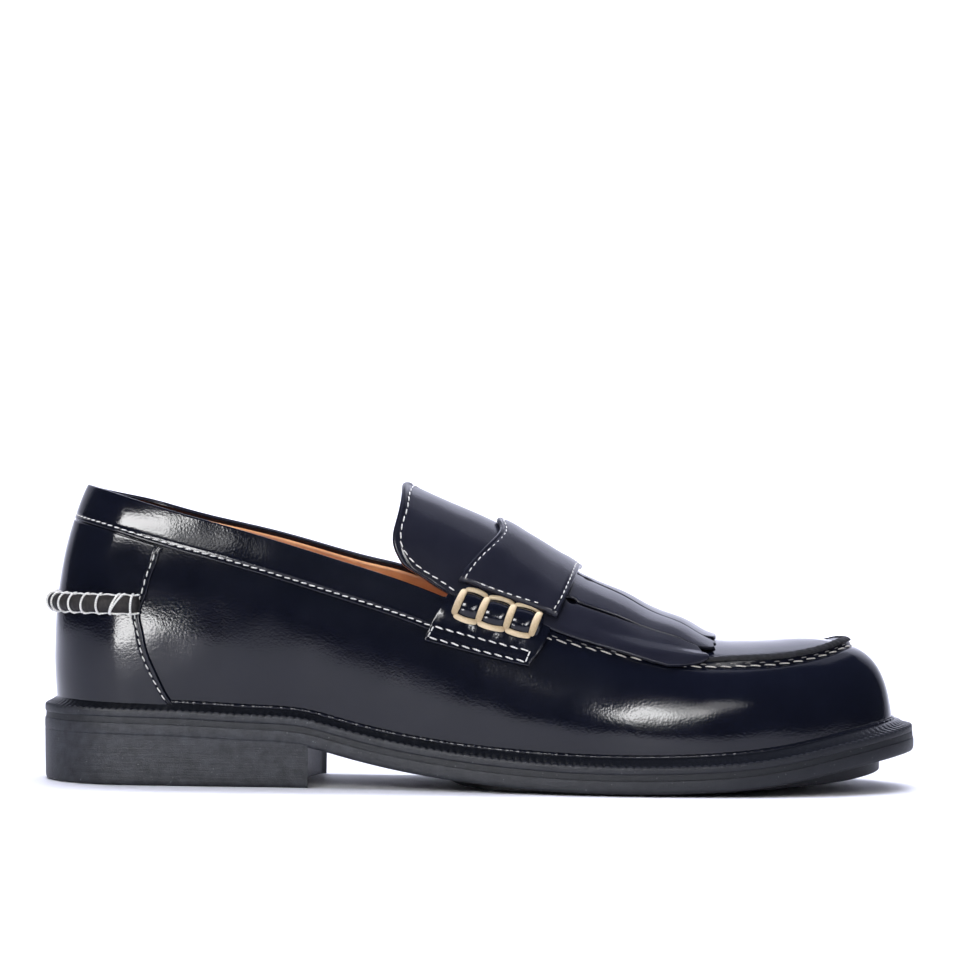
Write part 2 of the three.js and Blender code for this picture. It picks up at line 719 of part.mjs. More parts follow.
/** The midsole, a little in from the welt's edge. */
function makeMidsole() {
  const low = (x) => midsoleTop(x) - midsoleThickness;
  return plate(soleOutline, edgeLevels(STRAIGHT_EDGE, low, midsoleTop, midsoleRecess));
}

/** The outsole, with a pocket for the forefoot tread. */
function makeOutsole() {
  const board = plate(soleOutline, edgeLevels(OUTSOLE_EDGE, outsoleFloor, outsoleTop));
  const pocket = plate(treadOutline, [
    { inset: -gap, z: (x) => treadUnder(x) - beyond },
    { inset: -gap, z: (x) => treadTop(x) + gap },
  ]);
  return board.subtract(pocket);
}

/** The forefoot tread, a thin plate that the shoe stands on. */
function makeTread() {
  return plate(treadOutline, edgeLevels(TREAD_EDGE, treadUnder, treadTop));
}

/** The heel block, with a hollow breast. */
function makeHeelBlock() {
  const breast = breastPlace * soleLength;
  const block = plate(soleOutline, edgeLevels(HEEL_EDGE, () => 0, (x) => outsoleFloor(x) - gap));
  const hollow = [];
  for (let k = 0; k <= pathSteps; k += 1) {
    const y = lerp(breastEnds.lateral, breastEnds.medial, k / pathSteps) * ballWidth;
    const share = Math.abs(2 * k / pathSteps - 1);
    hollow.push([breast - breastHollow * (1 - share ** 2), y]);
  }
  const front = planPrism([[breast, -ballWidth], ...hollow, [breast, ballWidth],
    [soleLength + beyond, ballWidth], [soleLength + beyond, -ballWidth]]);
  return block.subtract(front);
}

/** The insole board inside the foot of the upper, down to the midsole. */
function makeInsole() {
  const low = (x) => midsoleTop(x) + insoleSeat;
  const high = (x) => weltTop(x) + insoleRise;
  return plate(upperOutline, edgeLevels(INSOLE_EDGE, low, high, wall + 2 * gap));
}

/** Everything over the topline and the throat. */
function opening() {
  const line = heightLine(topline, toplineStart, toplineEnd, lineSteps);
  const above = backHeight + instepHeight;
  return sidePrism([...line, ...sideView(THROAT), [toplineEnd, above], [toplineStart, above]]);
}

/** The upper: one hollow wall with the raised apron seam. */
function makeUpper() {
  const skin = lastSolid((_, rise) => ridgeHeight * rise);
  const foot = lastSolid(() => -wall, under);
  return skin.subtract(foot).subtract(opening());
}

const overlayOuter = gap + overlayThickness;
const overlayLayer = lastLayer(() => gap, () => overlayOuter);

/** The collar band, from the topline down. */
function makeCollarBand() {
  const upper = heightLine(topline, toplineStart, bandFront.top * soleLength, lineSteps);
  const lower = heightLine(bandFoot, toplineStart, bandFront.foot * soleLength, lineSteps).reverse();
  return overlayLayer.intersect(sidePrism([...upper, ...lower]));
}

/** The heel counter, below the band and behind its curved seam. */
function makeCounter() {
  const seam = [];
  for (let k = 0; k <= lineSteps; k += 1) {
    const up = k / lineSteps;
    const x = counterX(up) * soleLength;
    seam.push([x, lerp(weltTop(x) + seatGap, bandFoot(x) - gap, up)]);
  }
  const [foot, head] = [seam[0][0], seam[lineSteps][0]];
  const lower = heightLine((x) => weltTop(x) + seatGap, toplineStart, foot, lineSteps);
  const upper = heightLine((x) => bandFoot(x) - gap, toplineStart, head, lineSteps).reverse();
  return overlayLayer.intersect(sidePrism([...lower.slice(0, -1), ...seam, ...upper.slice(1)]));
}

/** The kicker, a rolled strip round the back of the counter. */
function makeKicker() {
  const z = weltTop(0) + kickerHeight;
  const { u: end } = locate(kickerReach * soleLength, z, LATERAL);
  const places = [];
  for (let k = -pathSteps; k <= pathSteps; k += 1) {
    const share = Math.abs(k) / pathSteps;
    const side = k <= 0 ? LATERAL : MEDIAL;
    const u = end * share;
    const t = search((share) => lastPoint(u, share, side).z < z);
    const out = k === 0 ? new THREE.Vector3(-1, 0, 0) : lastNormal(u, t, side).setZ(0).normalize();
    const centre = lastPoint(u, t, side).addScaledVector(out, overlayOuter + gap);
    const taper = Math.abs(k) === pathSteps ? kickerTip : 1;
    places.push({ centre, across: new THREE.Vector3(0, 0, 1), out, radius: kickerRadius * taper,
      rise: kickerRise * taper });
  }
  return tube(places).subtract(lastSolid(() => overlayOuter + gap));
}

const tongueOuter = gap + tongueThickness;

/** The tongue, standing up out of the throat. */
function makeTongue() {
  return lastLayer(() => gap, () => tongueOuter).intersect(sidePrism(sideView(TONGUE)));
}

/** The saddle strap over the instep. */
function makeStrap() {
  const inner = tongueOuter + gap;
  return lastLayer(() => inner, () => inner + strapThickness).intersect(sidePrism(sideView(STRAP)));
}

/** How far the fringe stands off the vamp at x: its free ends lift. */
const fringeOffset = (x) => gap + fringeLift * smooth(x / soleLength, fringeFrom, fringeFull);

/** The kiltie, a fringed flap from under the strap to the apron. */
function makeKiltie() {
  const over = (p, rise) => fringeOffset(p.x) + ridgeHeight * rise;
  const layer = lastLayer(over, (p, rise) => over(p, rise) + tongueThickness);
  const [lateral, medial] = SIDES.map(({ sign }) => [
    [kiltieBack * soleLength, 0],
    ...KILTIE_EDGE.map(({ u, t }) => lastPoint(u, t, sign)).map(({ x, y }) => [x, y]),
    ...KILTIE_FRONT.map(({ x, y }) => [x * soleLength, sign * y * ballWidth]),
  ]);
  let flap = layer.intersect(planPrism([...lateral, ...medial.slice(1, -1).reverse()]));
  for (const { from, to, y, spread } of SLITS) {
    for (const { sign } of SIDES) {
      flap = flap.subtract(slit(from * soleLength, to * soleLength, y * ballWidth, spread * ballWidth, sign));
    }
  }
  return flap;
}

/** One slit of the fringe with the round eye at its back end. */
function slit(from, to, y, spread, sign) {
  const half = slitWidth / 2;
  const eye = [];
  for (let k = 1; k < eyeSteps; k += 1) {
    const angle = Math.PI / 2 + Math.PI * k / eyeSteps;
    eye.push([from + eyeRadius * Math.cos(angle), sign * y + eyeRadius * Math.sin(angle)]);
  }
  const front = sign * (y + spread);
  const mouth = to + 2 * eyeRadius;
  return planPrism([[from, sign * y + eyeRadius], ...eye, [from, sign * y - eyeRadius],
    [from + 2 * eyeRadius, sign * y - half], [mouth, front - half], [mouth, front + half],
    [from + 2 * eyeRadius, sign * y + half]]);
}

/** One side's strap end, sewn flat below the beef roll. */
function makeTab(sign) {
  const [y0, y1] = sign === LATERAL ? [-ballWidth, 0] : [0, ballWidth];
  return lastLayer(() => gap, () => gap + tabThickness).intersect(sidePrism(sideView(TAB), y0, y1));
}

/** One side's beef roll: a short roll drawn in by its cord at four places. */
function makeBeefRoll(sign) {
  const line = new THREE.SplineCurve(sideView(BEEF_ROLL).map(([x, z]) => new THREE.Vector2(x, z)));
  const steps = bulgeSteps * rollBulges;
  const places = [];
  for (let k = 0; k <= steps; k += 1) {
    const share = k / steps;
    const { x, y: z } = line.getPoint(share);
    const { u, t } = locate(x, z, sign);
    const ahead = line.getTangent(share);
    const out = lastNormal(u, t, sign);
    const along = new THREE.Vector3(ahead.x, 0, ahead.y);
    along.addScaledVector(out, -along.dot(out)).normalize();
    const across = out.clone().cross(along).normalize();
    const bulge = Math.abs(Math.sin(Math.PI * rollBulges * share)) ** rollFullness;
    const swell = lerp(rollWaist, 1, bulge);
    places.push({ centre: lastPoint(u, t, sign).addScaledVector(out, gap), across, out,
      radius: beefRollRadius * swell, rise: beefRollRise * swell });
  }
  return tube(places).subtract(lastSolid(() => gap));
}

// Finishes
const leather = { color: 0x15161d, roughness: 0.22, metalness: 0 };
const darkLeather = { color: 0x1d1714, roughness: 0.55, metalness: 0 };
const rubber = { color: 0x33363b, roughness: 0.75, metalness: 0 };
const lining = { color: 0xb87840, roughness: 0.6, metalness: 0 };

const shoe = new THREE.Group();

/** Adds one solid to the shoe as a named mesh. */
function add(name, body, finish) {
  const mesh = body.getMesh();
  const geometry = new THREE.BufferGeometry();
  geometry.setAttribute('position', new THREE.BufferAttribute(mesh.vertProperties, mesh.numProp));
  geometry.setIndex(new THREE.BufferAttribute(mesh.triVerts, 1));
  const piece = new THREE.Mesh(geometry, new THREE.MeshStandardMaterial(finish));
  piece.name = name;
  shoe.add(piece);
}

add('outsole', makeOutsole(), rubber);
add('forefoot_tread', makeTread(), rubber);
add('heel_block', makeHeelBlock(), rubber);
add('midsole', makeMidsole(), rubber);
add('welt', makeWelt(), rubber);
add('insole', makeInsole(), lining);
add('upper', makeUpper(), leather);
add('collar_band', makeCollarBand(), leather);
add('heel_counter', makeCounter(), leather);
add('heel_kicker', makeKicker(), darkLeather);
add('tongue', makeTongue(), leather);
add('saddle_strap', makeStrap(), leather);
add('kiltie', makeKiltie(), leather);
for (const { name, sign } of SIDES) {
  add(`strap_tab_${name}`, makeTab(sign), leather);
  add(`beef_roll_${name}`, makeBeefRoll(sign), leather);
}

shoe.updateMatrixWorld(true);
const box = new THREE.Box3().setFromObject(shoe);
shoe.position.set(-(box.min.x + box.max.x) / 2, -(box.min.y + box.max.y) / 2, -box.min.z);

export default shoe;
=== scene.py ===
import logging
import math
from dataclasses import dataclass
from enum import Enum
from typing import Callable, Optional, Sequence

import bmesh
import bpy
import numpy as np
from mathutils import Matrix, Quaternion, Vector


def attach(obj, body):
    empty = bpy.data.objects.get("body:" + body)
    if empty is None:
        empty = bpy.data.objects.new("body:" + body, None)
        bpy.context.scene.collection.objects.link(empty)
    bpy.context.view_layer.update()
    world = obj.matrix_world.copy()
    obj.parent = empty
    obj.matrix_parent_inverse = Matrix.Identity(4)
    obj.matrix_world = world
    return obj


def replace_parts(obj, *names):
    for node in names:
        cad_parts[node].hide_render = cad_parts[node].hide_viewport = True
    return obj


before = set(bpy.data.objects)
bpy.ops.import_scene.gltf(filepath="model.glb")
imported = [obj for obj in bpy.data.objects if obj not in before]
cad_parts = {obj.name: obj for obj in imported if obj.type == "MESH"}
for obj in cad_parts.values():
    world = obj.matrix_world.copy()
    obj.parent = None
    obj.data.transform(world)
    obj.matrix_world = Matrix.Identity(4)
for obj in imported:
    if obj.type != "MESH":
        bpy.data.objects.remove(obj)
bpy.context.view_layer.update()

log = logging.getLogger("loafer")

# Lengths below are in millimetres, with x = 0 at the back of the sole and z = 0 on the floor.
# A mesh is moved by ORIGIN and scaled by MM as it is made, into the frame of the model.
MM = 0.001
ORIGIN = np.array([136.5, 4.1755, 0.0])
Array = np.ndarray


class Side(Enum):
    """The two sides of the shoe, by the sign of y."""

    LATERAL = -1
    MEDIAL = 1


class Spline:
    """Natural cubic spline through points, flat past its ends."""

    def __init__(self, x: Sequence[float], y: Sequence[float]) -> None:
        """Solves for the second derivatives at the knots.

        Args:
            x: rising places of the knots.
            y: values at the knots.
        """
        self.x = np.asarray(x, float)
        self.y = np.asarray(y, float)
        n = len(self.x)
        h = np.diff(self.x)
        left = np.eye(n)
        right = np.zeros(n)
        for i in range(1, n - 1):
            left[i, i - 1 : i + 2] = h[i - 1], 2 * (h[i - 1] + h[i]), h[i]
            right[i] = 6 * ((self.y[i + 1] - self.y[i]) / h[i] - (self.y[i] - self.y[i - 1]) / h[i - 1])
        self.bend = np.linalg.solve(left, right)

    def __call__(self, value: Array) -> Array:
        """Value of the spline.

        Args:
            value: places, of any shape.

        Returns:
            The spline's values there.
        """
        v = np.clip(np.asarray(value, float), self.x[0], self.x[-1])
        i = np.clip(np.searchsorted(self.x, v), 1, len(self.x) - 1)
        h = self.x[i] - self.x[i - 1]
        a = (self.x[i] - v) / h
        b = 1 - a
        curve = (a**3 - a) * self.bend[i - 1] + (b**3 - b) * self.bend[i]
        return a * self.y[i - 1] + b * self.y[i] + curve * h * h / 6


def smooth(x: Array, low: float, high: float) -> Array:
    """Smooth step from 0 at low to 1 at high."""
    s = np.clip((np.asarray(x, float) - low) / (high - low), 0, 1)
    return s * s * (3 - 2 * s)


def bump(x: Array, middle: float, width: float) -> Array:
    """Bell curve of height 1 about middle, exp(-((x - middle) / width) squared)."""
    return np.exp(-(((np.asarray(x, float) - middle) / width) ** 2))


def crowded(n: int, pull: float = 0.88) -> Array:
    """Shares from 0 to 1 that crowd at both ends: s minus pull times sin(2 pi s) over 2 pi."""
    s = np.linspace(0, 1, n)
    return s - pull * np.sin(2 * np.pi * s) / (2 * np.pi)


def unit(v: Array) -> Array:
    """Vectors of length 1 along the last axis."""
    return v / np.maximum(np.linalg.norm(v, axis=-1, keepdims=True), 1e-12)


# Sole from heel to toe: x, half widths, lift of heel, spring of toe, stand-in of the upper.
SOLE = np.array([
    [0.00, 0.318, 0.318, 1.0131, 0.0000, 0.594], [0.10, 0.330, 0.325, 1.0000, 0.0000, 0.563],
    [0.20, 0.332, 0.312, 0.9541, 0.0000, 0.531], [0.26, 0.329, 0.295, 0.9065, 0.0000, 0.500],
    [0.31, 0.328, 0.281, 0.8458, 0.0000, 0.484], [0.35, 0.331, 0.272, 0.6720, 0.0000, 0.469],
    [0.40, 0.340, 0.264, 0.4555, 0.0000, 0.469], [0.45, 0.362, 0.275, 0.2997, 0.0000, 0.516],
    [0.52, 0.405, 0.312, 0.1538, 0.0000, 0.656], [0.61, 0.460, 0.405, 0.0554, 0.0000, 0.781],
    [0.70, 0.480, 0.490, 0.0422, 0.0000, 0.828], [0.78, 0.466, 0.520, 0.0422, 0.0763, 0.859],
    [0.84, 0.446, 0.512, 0.0422, 0.2248, 0.906], [0.90, 0.420, 0.495, 0.0422, 0.5069, 0.938],
    [0.95, 0.396, 0.477, 0.0422, 0.7635, 0.969], [1.00, 0.370, 0.455, 0.0422, 1.0010, 1.000],
])
# Foot of a section of the last and where its top lies.
LEAN = np.array([
    [0.000, 0.062], [0.220, 0.275], [0.340, 0.400], [0.454, 0.527], [0.571, 0.612], [0.700, 0.715],
    [0.820, 0.800], [0.900, 0.842], [0.976, 0.862],
])
# Spine of the last: x, share of the back's height, share of the instep's height.
CROWN = np.array([
    [0.062, 1.116, 0.000], [0.220, 0.900, 0.287], [0.330, 0.500, 0.700], [0.415, 0.200, 0.927],
    [0.527, 0.000, 0.996], [0.612, 0.000, 0.825], [0.690, 0.000, 0.678], [0.755, 0.000, 0.591],
    [0.810, 0.000, 0.578], [0.862, 0.000, 0.588],
])
# Half sections: x, lateral belly, rise and crown, medial belly, rise and crown, cap.
SECTIONS = np.array([
    [0.000, 0.25, 0.50, 0.52, 0.25, 0.50, 0.52, 0.86], [0.060, 0.20, 0.48, 0.85, 0.16, 0.48, 0.80, 0.96],
    [0.200, 0.22, 0.47, 1.02, 0.12, 0.45, 0.95, 1.00], [0.400, 0.24, 0.48, 0.92, 0.18, 0.45, 0.90, 1.00],
    [0.550, 0.16, 0.52, 0.66, 0.16, 0.50, 0.70, 1.00], [0.700, 0.10, 0.62, 0.66, 0.12, 0.62, 0.72, 1.00],
    [0.820, 0.06, 0.66, 0.74, 0.08, 0.66, 0.78, 1.00], [0.920, -0.02, 0.68, 0.80, 0.00, 0.68, 0.80, 1.00],
    [0.976, -0.07, 0.70, 0.80, -0.07, 0.70, 0.80, 1.00],
])
# The apron seam: station, height on the section, how much it stands up.
SEAM = np.array([
    [0.00, 0.450, 0.00], [0.45, 0.450, 0.00], [0.55, 0.463, 0.10], [0.61, 0.487, 0.22], [0.67, 0.535, 0.55],
    [0.72, 0.563, 1.00], [0.76, 0.563, 1.00], [0.80, 0.577, 1.00], [0.84, 0.608, 1.00], [0.90, 0.662, 1.00],
    [1.00, 0.695, 1.00],
])
# Topline in side view: x, share of the back's height, share of the instep's height.
TOPLINE = np.array([
    [-0.03, 1.045, 0.000], [0.055, 1.000, 0.000], [0.10, 0.873, 0.116], [0.18, 0.640, 0.305],
    [0.26, 0.450, 0.450], [0.36, 0.190, 0.650], [0.43, 0.030, 0.759], [0.475, 0.000, 0.735],
])
# How far the lateral and the medial topline stand over the table's, in mm, against x.
RISE = np.array([
    [0.030, 0.0, 0.0], [0.077, -0.4, -1.4], [0.110, -0.8, -1.3], [0.141, -0.7, -1.1], [0.203, 0.0, 0.0],
    [0.266, 0.0, 0.85], [0.315, 0.0, 1.2], [0.343, 0.0, 1.45], [0.374, 0.0, 2.0], [0.402, 0.0, 2.7],
    [0.430, 0.0, 3.0], [0.475, 0.0, 3.2],
])
CLOSED = 0.999  # share of a section past which the upper counts as closed at the spine
CALM_STATIONS = 27  # stations over which the topline is averaged for the lower rows
SEARCH_STEPS = 400  # steps of a section in which a height is looked for
THROAT = np.array([[0.490, 0.790], [0.512, 0.900], [0.540, 1.080], [0.560, 1.400]])


@dataclass(frozen=True)
class Rim:
    """A plan outline: where its ends lie, how far they round off, how far it stands in."""

    heel: float
    toe: float
    heel_round: float
    toe_round: float
    reach: float = 0.0
    inset: float = 0.0


SOLE_RIM = Rim(0.0, 0.0, 0.1136, 0.2418)
UPPER_RIM = Rim(0.0179, 0.0242, 0.0993, 0.2176, reach=6.4)
TREAD_RIM = Rim(0.470, 0.039, 0.0806, 0.2051, inset=7.5)


@dataclass
class Last:
    """The form that the shoe is built round, and the sizes that every piece follows."""

    sole_length: float = 273.0
    ball_width: float = 94.0
    instep_height: float = 79.0
    heel_height: float = 15.0
    toe_spring: float = 11.6
    back_height: float = 92.0
    toe_swing: float = 4.5
    welt: float = 3.0
    midsole: float = 2.4
    outsole: float = 3.6
    gap: float = 0.3
    seat_gap: float = 0.35
    band_height: float = 11.6

    def __post_init__(self) -> None:
        """Fits a spline to each column of the tables."""
        x = SOLE[:, 0]
        self.widths = {Side.LATERAL: Spline(x, SOLE[:, 1]), Side.MEDIAL: Spline(x, SOLE[:, 2])}
        self.lift = Spline(x, SOLE[:, 3])
        self.spring = Spline(x, SOLE[:, 4])
        self.margin = Spline(x, SOLE[:, 5])
        self.spine = Spline(LEAN[:, 0], LEAN[:, 1])
        self.crown_back = Spline(CROWN[:, 0], CROWN[:, 1])
        self.crown_instep = Spline(CROWN[:, 0], CROWN[:, 2])
        self.shape = [Spline(SECTIONS[:, 0], SECTIONS[:, k]) for k in range(1, 8)]
        self.seam = Spline(SEAM[:, 0], SEAM[:, 1])
        self.seam_rise = Spline(SEAM[:, 0], SEAM[:, 2])
        self.top_back = Spline(TOPLINE[:, 0], TOPLINE[:, 1])
        self.top_instep = Spline(TOPLINE[:, 0], TOPLINE[:, 2])
        self.rise = {
            Side.LATERAL: Spline(RISE[:, 0], RISE[:, 1]),
            Side.MEDIAL: Spline(RISE[:, 0], RISE[:, 2]),
        }

    @property
    def stack(self) -> float:
        """Thickness of the sole's layers together."""
        return self.welt + self.gap + self.midsole + self.gap + self.outsole

    def welt_top(self, x: Array) -> Array:
        """Height of the welt's top at x: the stack, plus heel and toe lifts by their splines."""
        s = np.asarray(x, float) / self.sole_length
        return self.stack + self.heel_height * self.lift(s) + self.toe_spring * self.spring(s)

    def midsole_top(self, x: Array) -> Array:
        """Height of the midsole's top at x."""
        return self.welt_top(x) - self.welt - self.gap

    def outsole_top(self, x: Array) -> Array:
        """Height of the outsole's top at x."""
        return self.midsole_top(x) - self.midsole - self.gap

    def outsole_floor(self, x: Array) -> Array:
        """Height of the outsole's underside at x."""
        return self.outsole_top(x) - self.outsole

    def centre(self, x: Array) -> Array:
        """Swing of the sole's centre line to the medial side at x."""
        return self.toe_swing * smooth(np.asarray(x, float) / self.sole_length, 0.45, 1)

    def topline(self, x: Array, side: Side) -> Array:
        """Height of the collar at x on one side."""
        s = np.asarray(x, float) / self.sole_length
        level = self.back_height * self.top_back(s) + self.instep_height * self.top_instep(s)
        return level + self.rise[side](s)

    def mouth(self, x: Array, side: Side) -> Array:
        """Height over which the upper is open: the topline, then the throat's steep front."""
        x = np.asarray(x, float)
        xs = np.concatenate([[0.475], THROAT[:, 0]]) * self.sole_length
        zs = np.concatenate([[0.0], THROAT[:, 1]]) * self.instep_height
        zs[0] = self.topline(xs[0], side)
        front = np.where(x > xs[-1], 1e3, np.interp(x, xs, zs))
        return np.where(x < xs[0], self.topline(x, side), front)

    def spine_height(self, x: Array) -> Array:
        """Height of the last's spine at x."""
        s = np.asarray(x, float) / self.sole_length
        return self.back_height * self.crown_back(s) + self.instep_height * self.crown_instep(s)

    def plan(self, rim: Rim, s: Array, sign: Array, inset: Array = 0.0) -> tuple[Array, Array]:
        """Plan outline: x runs by a cosine from heel to toe, y is the half width there, rounded
        off at both ends by a superellipse.

        Args:
            rim: which outline.
            s: stations, 0 heel to 1 toe.
            sign: -1 lateral, 1 medial.
            inset: how far it is drawn in.

        Returns:
            x and y of the points.
        """
        length = self.sole_length
        x0 = rim.heel * length + inset
        x1 = (1 - rim.toe) * length - inset
        x = x0 + (x1 - x0) * (1 - np.cos(np.pi * s)) / 2
        share = x / length
        width = np.where(sign < 0, self.widths[Side.LATERAL](share), self.widths[Side.MEDIAL](share))
        half = width * self.ball_width - rim.reach * self.margin(share) - rim.inset - inset
        heel_round = rim.heel_round * length - inset
        toe_round = rim.toe_round * length - inset
        back = np.clip((x0 + heel_round - x) / heel_round, 0, 1)
        front = np.clip((x - x1 + toe_round) / toe_round, 0, 1)
        ends = (1 - back**2.15) ** (1 / 2.15) * (1 - front**2.25) ** (1 / 2.25)
        return x, self.centre(x) + sign * half * ends

    def point(self, u: Array, w: Array) -> Array:
        """Surface of the last. Each section is a cubic curve from the foot up to the spine, and
        leans forward as it rises. Past a tip the surface goes on along the other side.

        Args:
            u: stations, 0 heel to 1 toe.
            w: height on the section as a signed share, -1 at the lateral foot, 0 on the spine,
                1 at the medial foot.

        Returns:
            Points, with x, y, z along the last axis.
        """
        u, w = np.broadcast_arrays(np.asarray(u, float), np.asarray(w, float))
        w = np.where((u < 0) | (u > 1), -w, w)
        u = np.where(u < 0, -u, np.where(u > 1, 2 - u, u))
        sign = np.where(w <= 0, -1.0, 1.0)
        t = 1 - np.abs(w)
        x, y = self.plan(UPPER_RIM, u, sign)
        s = x / self.sole_length
        belly, rise, crown = (
            np.where(sign < 0, self.shape[k](s), self.shape[k + 3](s)) for k in range(3)
        )
        top_x = self.spine(s) * self.sole_length
        top_z = self.spine_height(top_x)
        foot_z = self.welt_top(x) + self.seat_gap
        first = 3 * (1 - t) ** 2 * t
        second = 3 * (1 - t) * t**2
        across = -first * belly + second * (1 - crown) + t**3
        up = first * rise + second * self.shape[6](s) + t**3
        step = 0.004 * self.sole_length
        slope = (self.spine_height(top_x + step) - self.spine_height(top_x - step)) / (2 * step)
        slope = slope * smooth(top_x / self.sole_length, 0.15, 0.35)
        tilt = slope * crown * (x - top_x)
        px = x + (top_x - x) * across
        py = y + (0.8 * self.centre(top_x) - y) * across
        pz = foot_z + (top_z - foot_z) * up + second * tilt
        return np.stack([px, py, pz], -1)

    def normal(self, u: Array, w: Array) -> Array:
        """Outward normal: the cross product of the slopes along u and w, by central steps."""
        d = 0.003
        along = self.point(np.asarray(u) + d, w) - self.point(np.asarray(u) - d, w)
        over = self.point(u, np.asarray(w) + d) - self.point(u, np.asarray(w) - d)
        return unit(np.cross(along, over))

    def skin(self, u: Array, w: Array, offset: Array) -> Array:
        """The surface moved out along its normal by offset."""
        return self.point(u, w) + np.asarray(offset)[..., None] * self.normal(u, w)

    def height_at(self, u: Array, side: Side, height: Callable[[Array], Array]) -> Array:
        """Share of the way up a section at which it first rises over a height that is a function
        of x, found on SEARCH_STEPS steps and then between two of them.

        Args:
            u: stations, a flat array.
            side: which side.
            height: the height as a function of x.

        Returns:
            The shares, 1 where the section stays below.
        """
        t = np.linspace(0, 1, SEARCH_STEPS)
        p = self.point(np.asarray(u)[:, None], side.value * (1 - t[None, :]) + side.value * 1e-9)
        over = p[..., 2] - height(p[..., 0])
        hit = np.argmax(over > 0, 1)
        rows = np.arange(len(over))
        before = np.maximum(hit - 1, 0)
        low, high = over[rows, before], over[rows, hit]
        share = np.where(high > low, -low / np.where(high > low, high - low, 1), 0)
        return np.where((over > 0).any(1), t[before] + np.clip(share, 0, 1) * (t[hit] - t[before]), 1.0)


def new_object(
    name: str,
    points: Array,
    faces: Array,
    uv: Optional[Array] = None,
    sharp: Optional[float] = None,
    merge: bool = False,
) -> bpy.types.Object:
    """Makes a mesh object from whole arrays.

    Args:
        name: the piece's name.
        points: vertices in millimetres, n by 3.
        faces: vertex numbers, m by 3 or m by 4.
        uv: a pair of pattern coordinates for each vertex.
        sharp: angle in degrees past which an edge stays sharp.
        merge: whether coincident vertices are made one.

    Returns:
        The object, riding on the shoe's one body.
    """
    points = np.asarray(points, float).reshape(-1, 3)
    faces = np.asarray(faces, int)
    mesh = bpy.data.meshes.new(name)
    mesh.from_pydata(((points - ORIGIN) * MM).tolist(), [], faces.tolist())
    if uv is not None:
        layer = mesh.uv_layers.new(name="pattern")
        corners = np.asarray(uv, float).reshape(-1, 2)[faces.reshape(-1)]
        layer.data.foreach_set("uv", corners.astype(np.float32).reshape(-1))
    if merge:
        bm = bmesh.new()
        bm.from_mesh(mesh)
        bmesh.ops.remove_doubles(bm, verts=bm.verts, dist=2e-7)
        bm.to_mesh(mesh)
        bm.free()
    mesh.update()
    mesh.shade_smooth()
    if sharp is not None:
        mesh.set_sharp_from_angle(angle=math.radians(sharp))
    piece = bpy.data.objects.new(name, mesh)
    bpy.context.scene.collection.objects.link(piece)
    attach(piece, "root")
    return piece


def grid_faces(rows: int, columns: int, start: int = 0, loop: bool = False) -> Array:
    """Quads of a grid of vertices that is numbered row by row.

    Args:
        rows: vertices along the first axis.
        columns: vertices along the second axis.
        start: number of the first vertex.
        loop: whether the last column joins the first.

    Returns:
        Vertex numbers, one quad a row.
    """
    i, j = np.meshgrid(np.arange(rows - 1), np.arange(columns if loop else columns - 1), indexing="ij")
    k = (j + 1) % columns
    corners = [i * columns + j, (i + 1) * columns + j, (i + 1) * columns + k, i * columns + k]
    return start + np.stack(corners, -1).reshape(-1, 4)


def arc(points: Array, axis: int = 0) -> Array:
    """Length along a grid's lines from their start, summed from point to point."""
    steps = np.linalg.norm(np.diff(points, axis=axis), axis=-1)
    lengths = np.cumsum(steps, axis=axis)
    return np.concatenate([np.zeros_like(np.take(lengths, [0], axis)), lengths], axis)


def edge_distance(points: Array) -> Array:
    """Least distance of each grid point from the grid's four borders, along its lines."""
    best = np.full(points.shape[:2], 1e3)
    for axis in (0, 1):
        run = arc(points, axis)
        total = np.take(run, [-1], axis)
        best = np.minimum(best, np.minimum(run, total - run))
    return best


def leather_sheet(
    name: str,
    last: Last,
    u: Array,
    w: Array,
    low: Array,
    high: Array,
    rounding: float,
    press: Array = 0.0,
) -> bpy.types.Object:
    """A piece of leather on the last: a grid of stations u and heights w, moved out to low on
    its underside and to high on its face, with its cut edges rounded by a quarter ellipse.

    Args:
        name: the piece's name.
        last: the last.
        u: stations of the grid.
        w: signed heights of the grid.
        low: offset of the underside.
        high: offset of the face.
        rounding: how far in from its edge the sheet reaches its full thickness.
        press: extra offset of the face, such as a seam pressed in.

    Returns:
        The object, a closed mesh.
    """
    base = last.point(u, w)
    out = last.normal(u, w)
    near = np.clip(edge_distance(base) / rounding, 0, 1)
    full = np.sqrt(np.clip(1 - (1 - near) ** 2, 0, 1))
    middle = (np.asarray(low) + np.asarray(high)) / 2
    half = (np.asarray(high) - np.asarray(low)) / 2
    face = base + out * (middle + half * full + press * near)[..., None]
    back = base + out * (middle - half * full)[..., None]
    rows, columns = base.shape[:2]
    number = np.arange(rows * columns).reshape(rows, columns)
    inside = np.zeros((rows, columns), bool)
    inside[1:-1, 1:-1] = True
    under = np.where(inside, 0, number)
    under[inside] = rows * columns + np.arange(inside.sum())
    points = np.concatenate([face.reshape(-1, 3), back[inside]])
    quads = grid_faces(rows, columns)
    below = under.reshape(-1)[quads][:, ::-1]
    run = np.stack([arc(base, 0), arc(base, 1)], -1).reshape(-1, 2)
    uv = np.concatenate([run, run.reshape(rows, columns, 2)[inside]])
    return new_object(name, points, np.concatenate([quads, below]), uv)


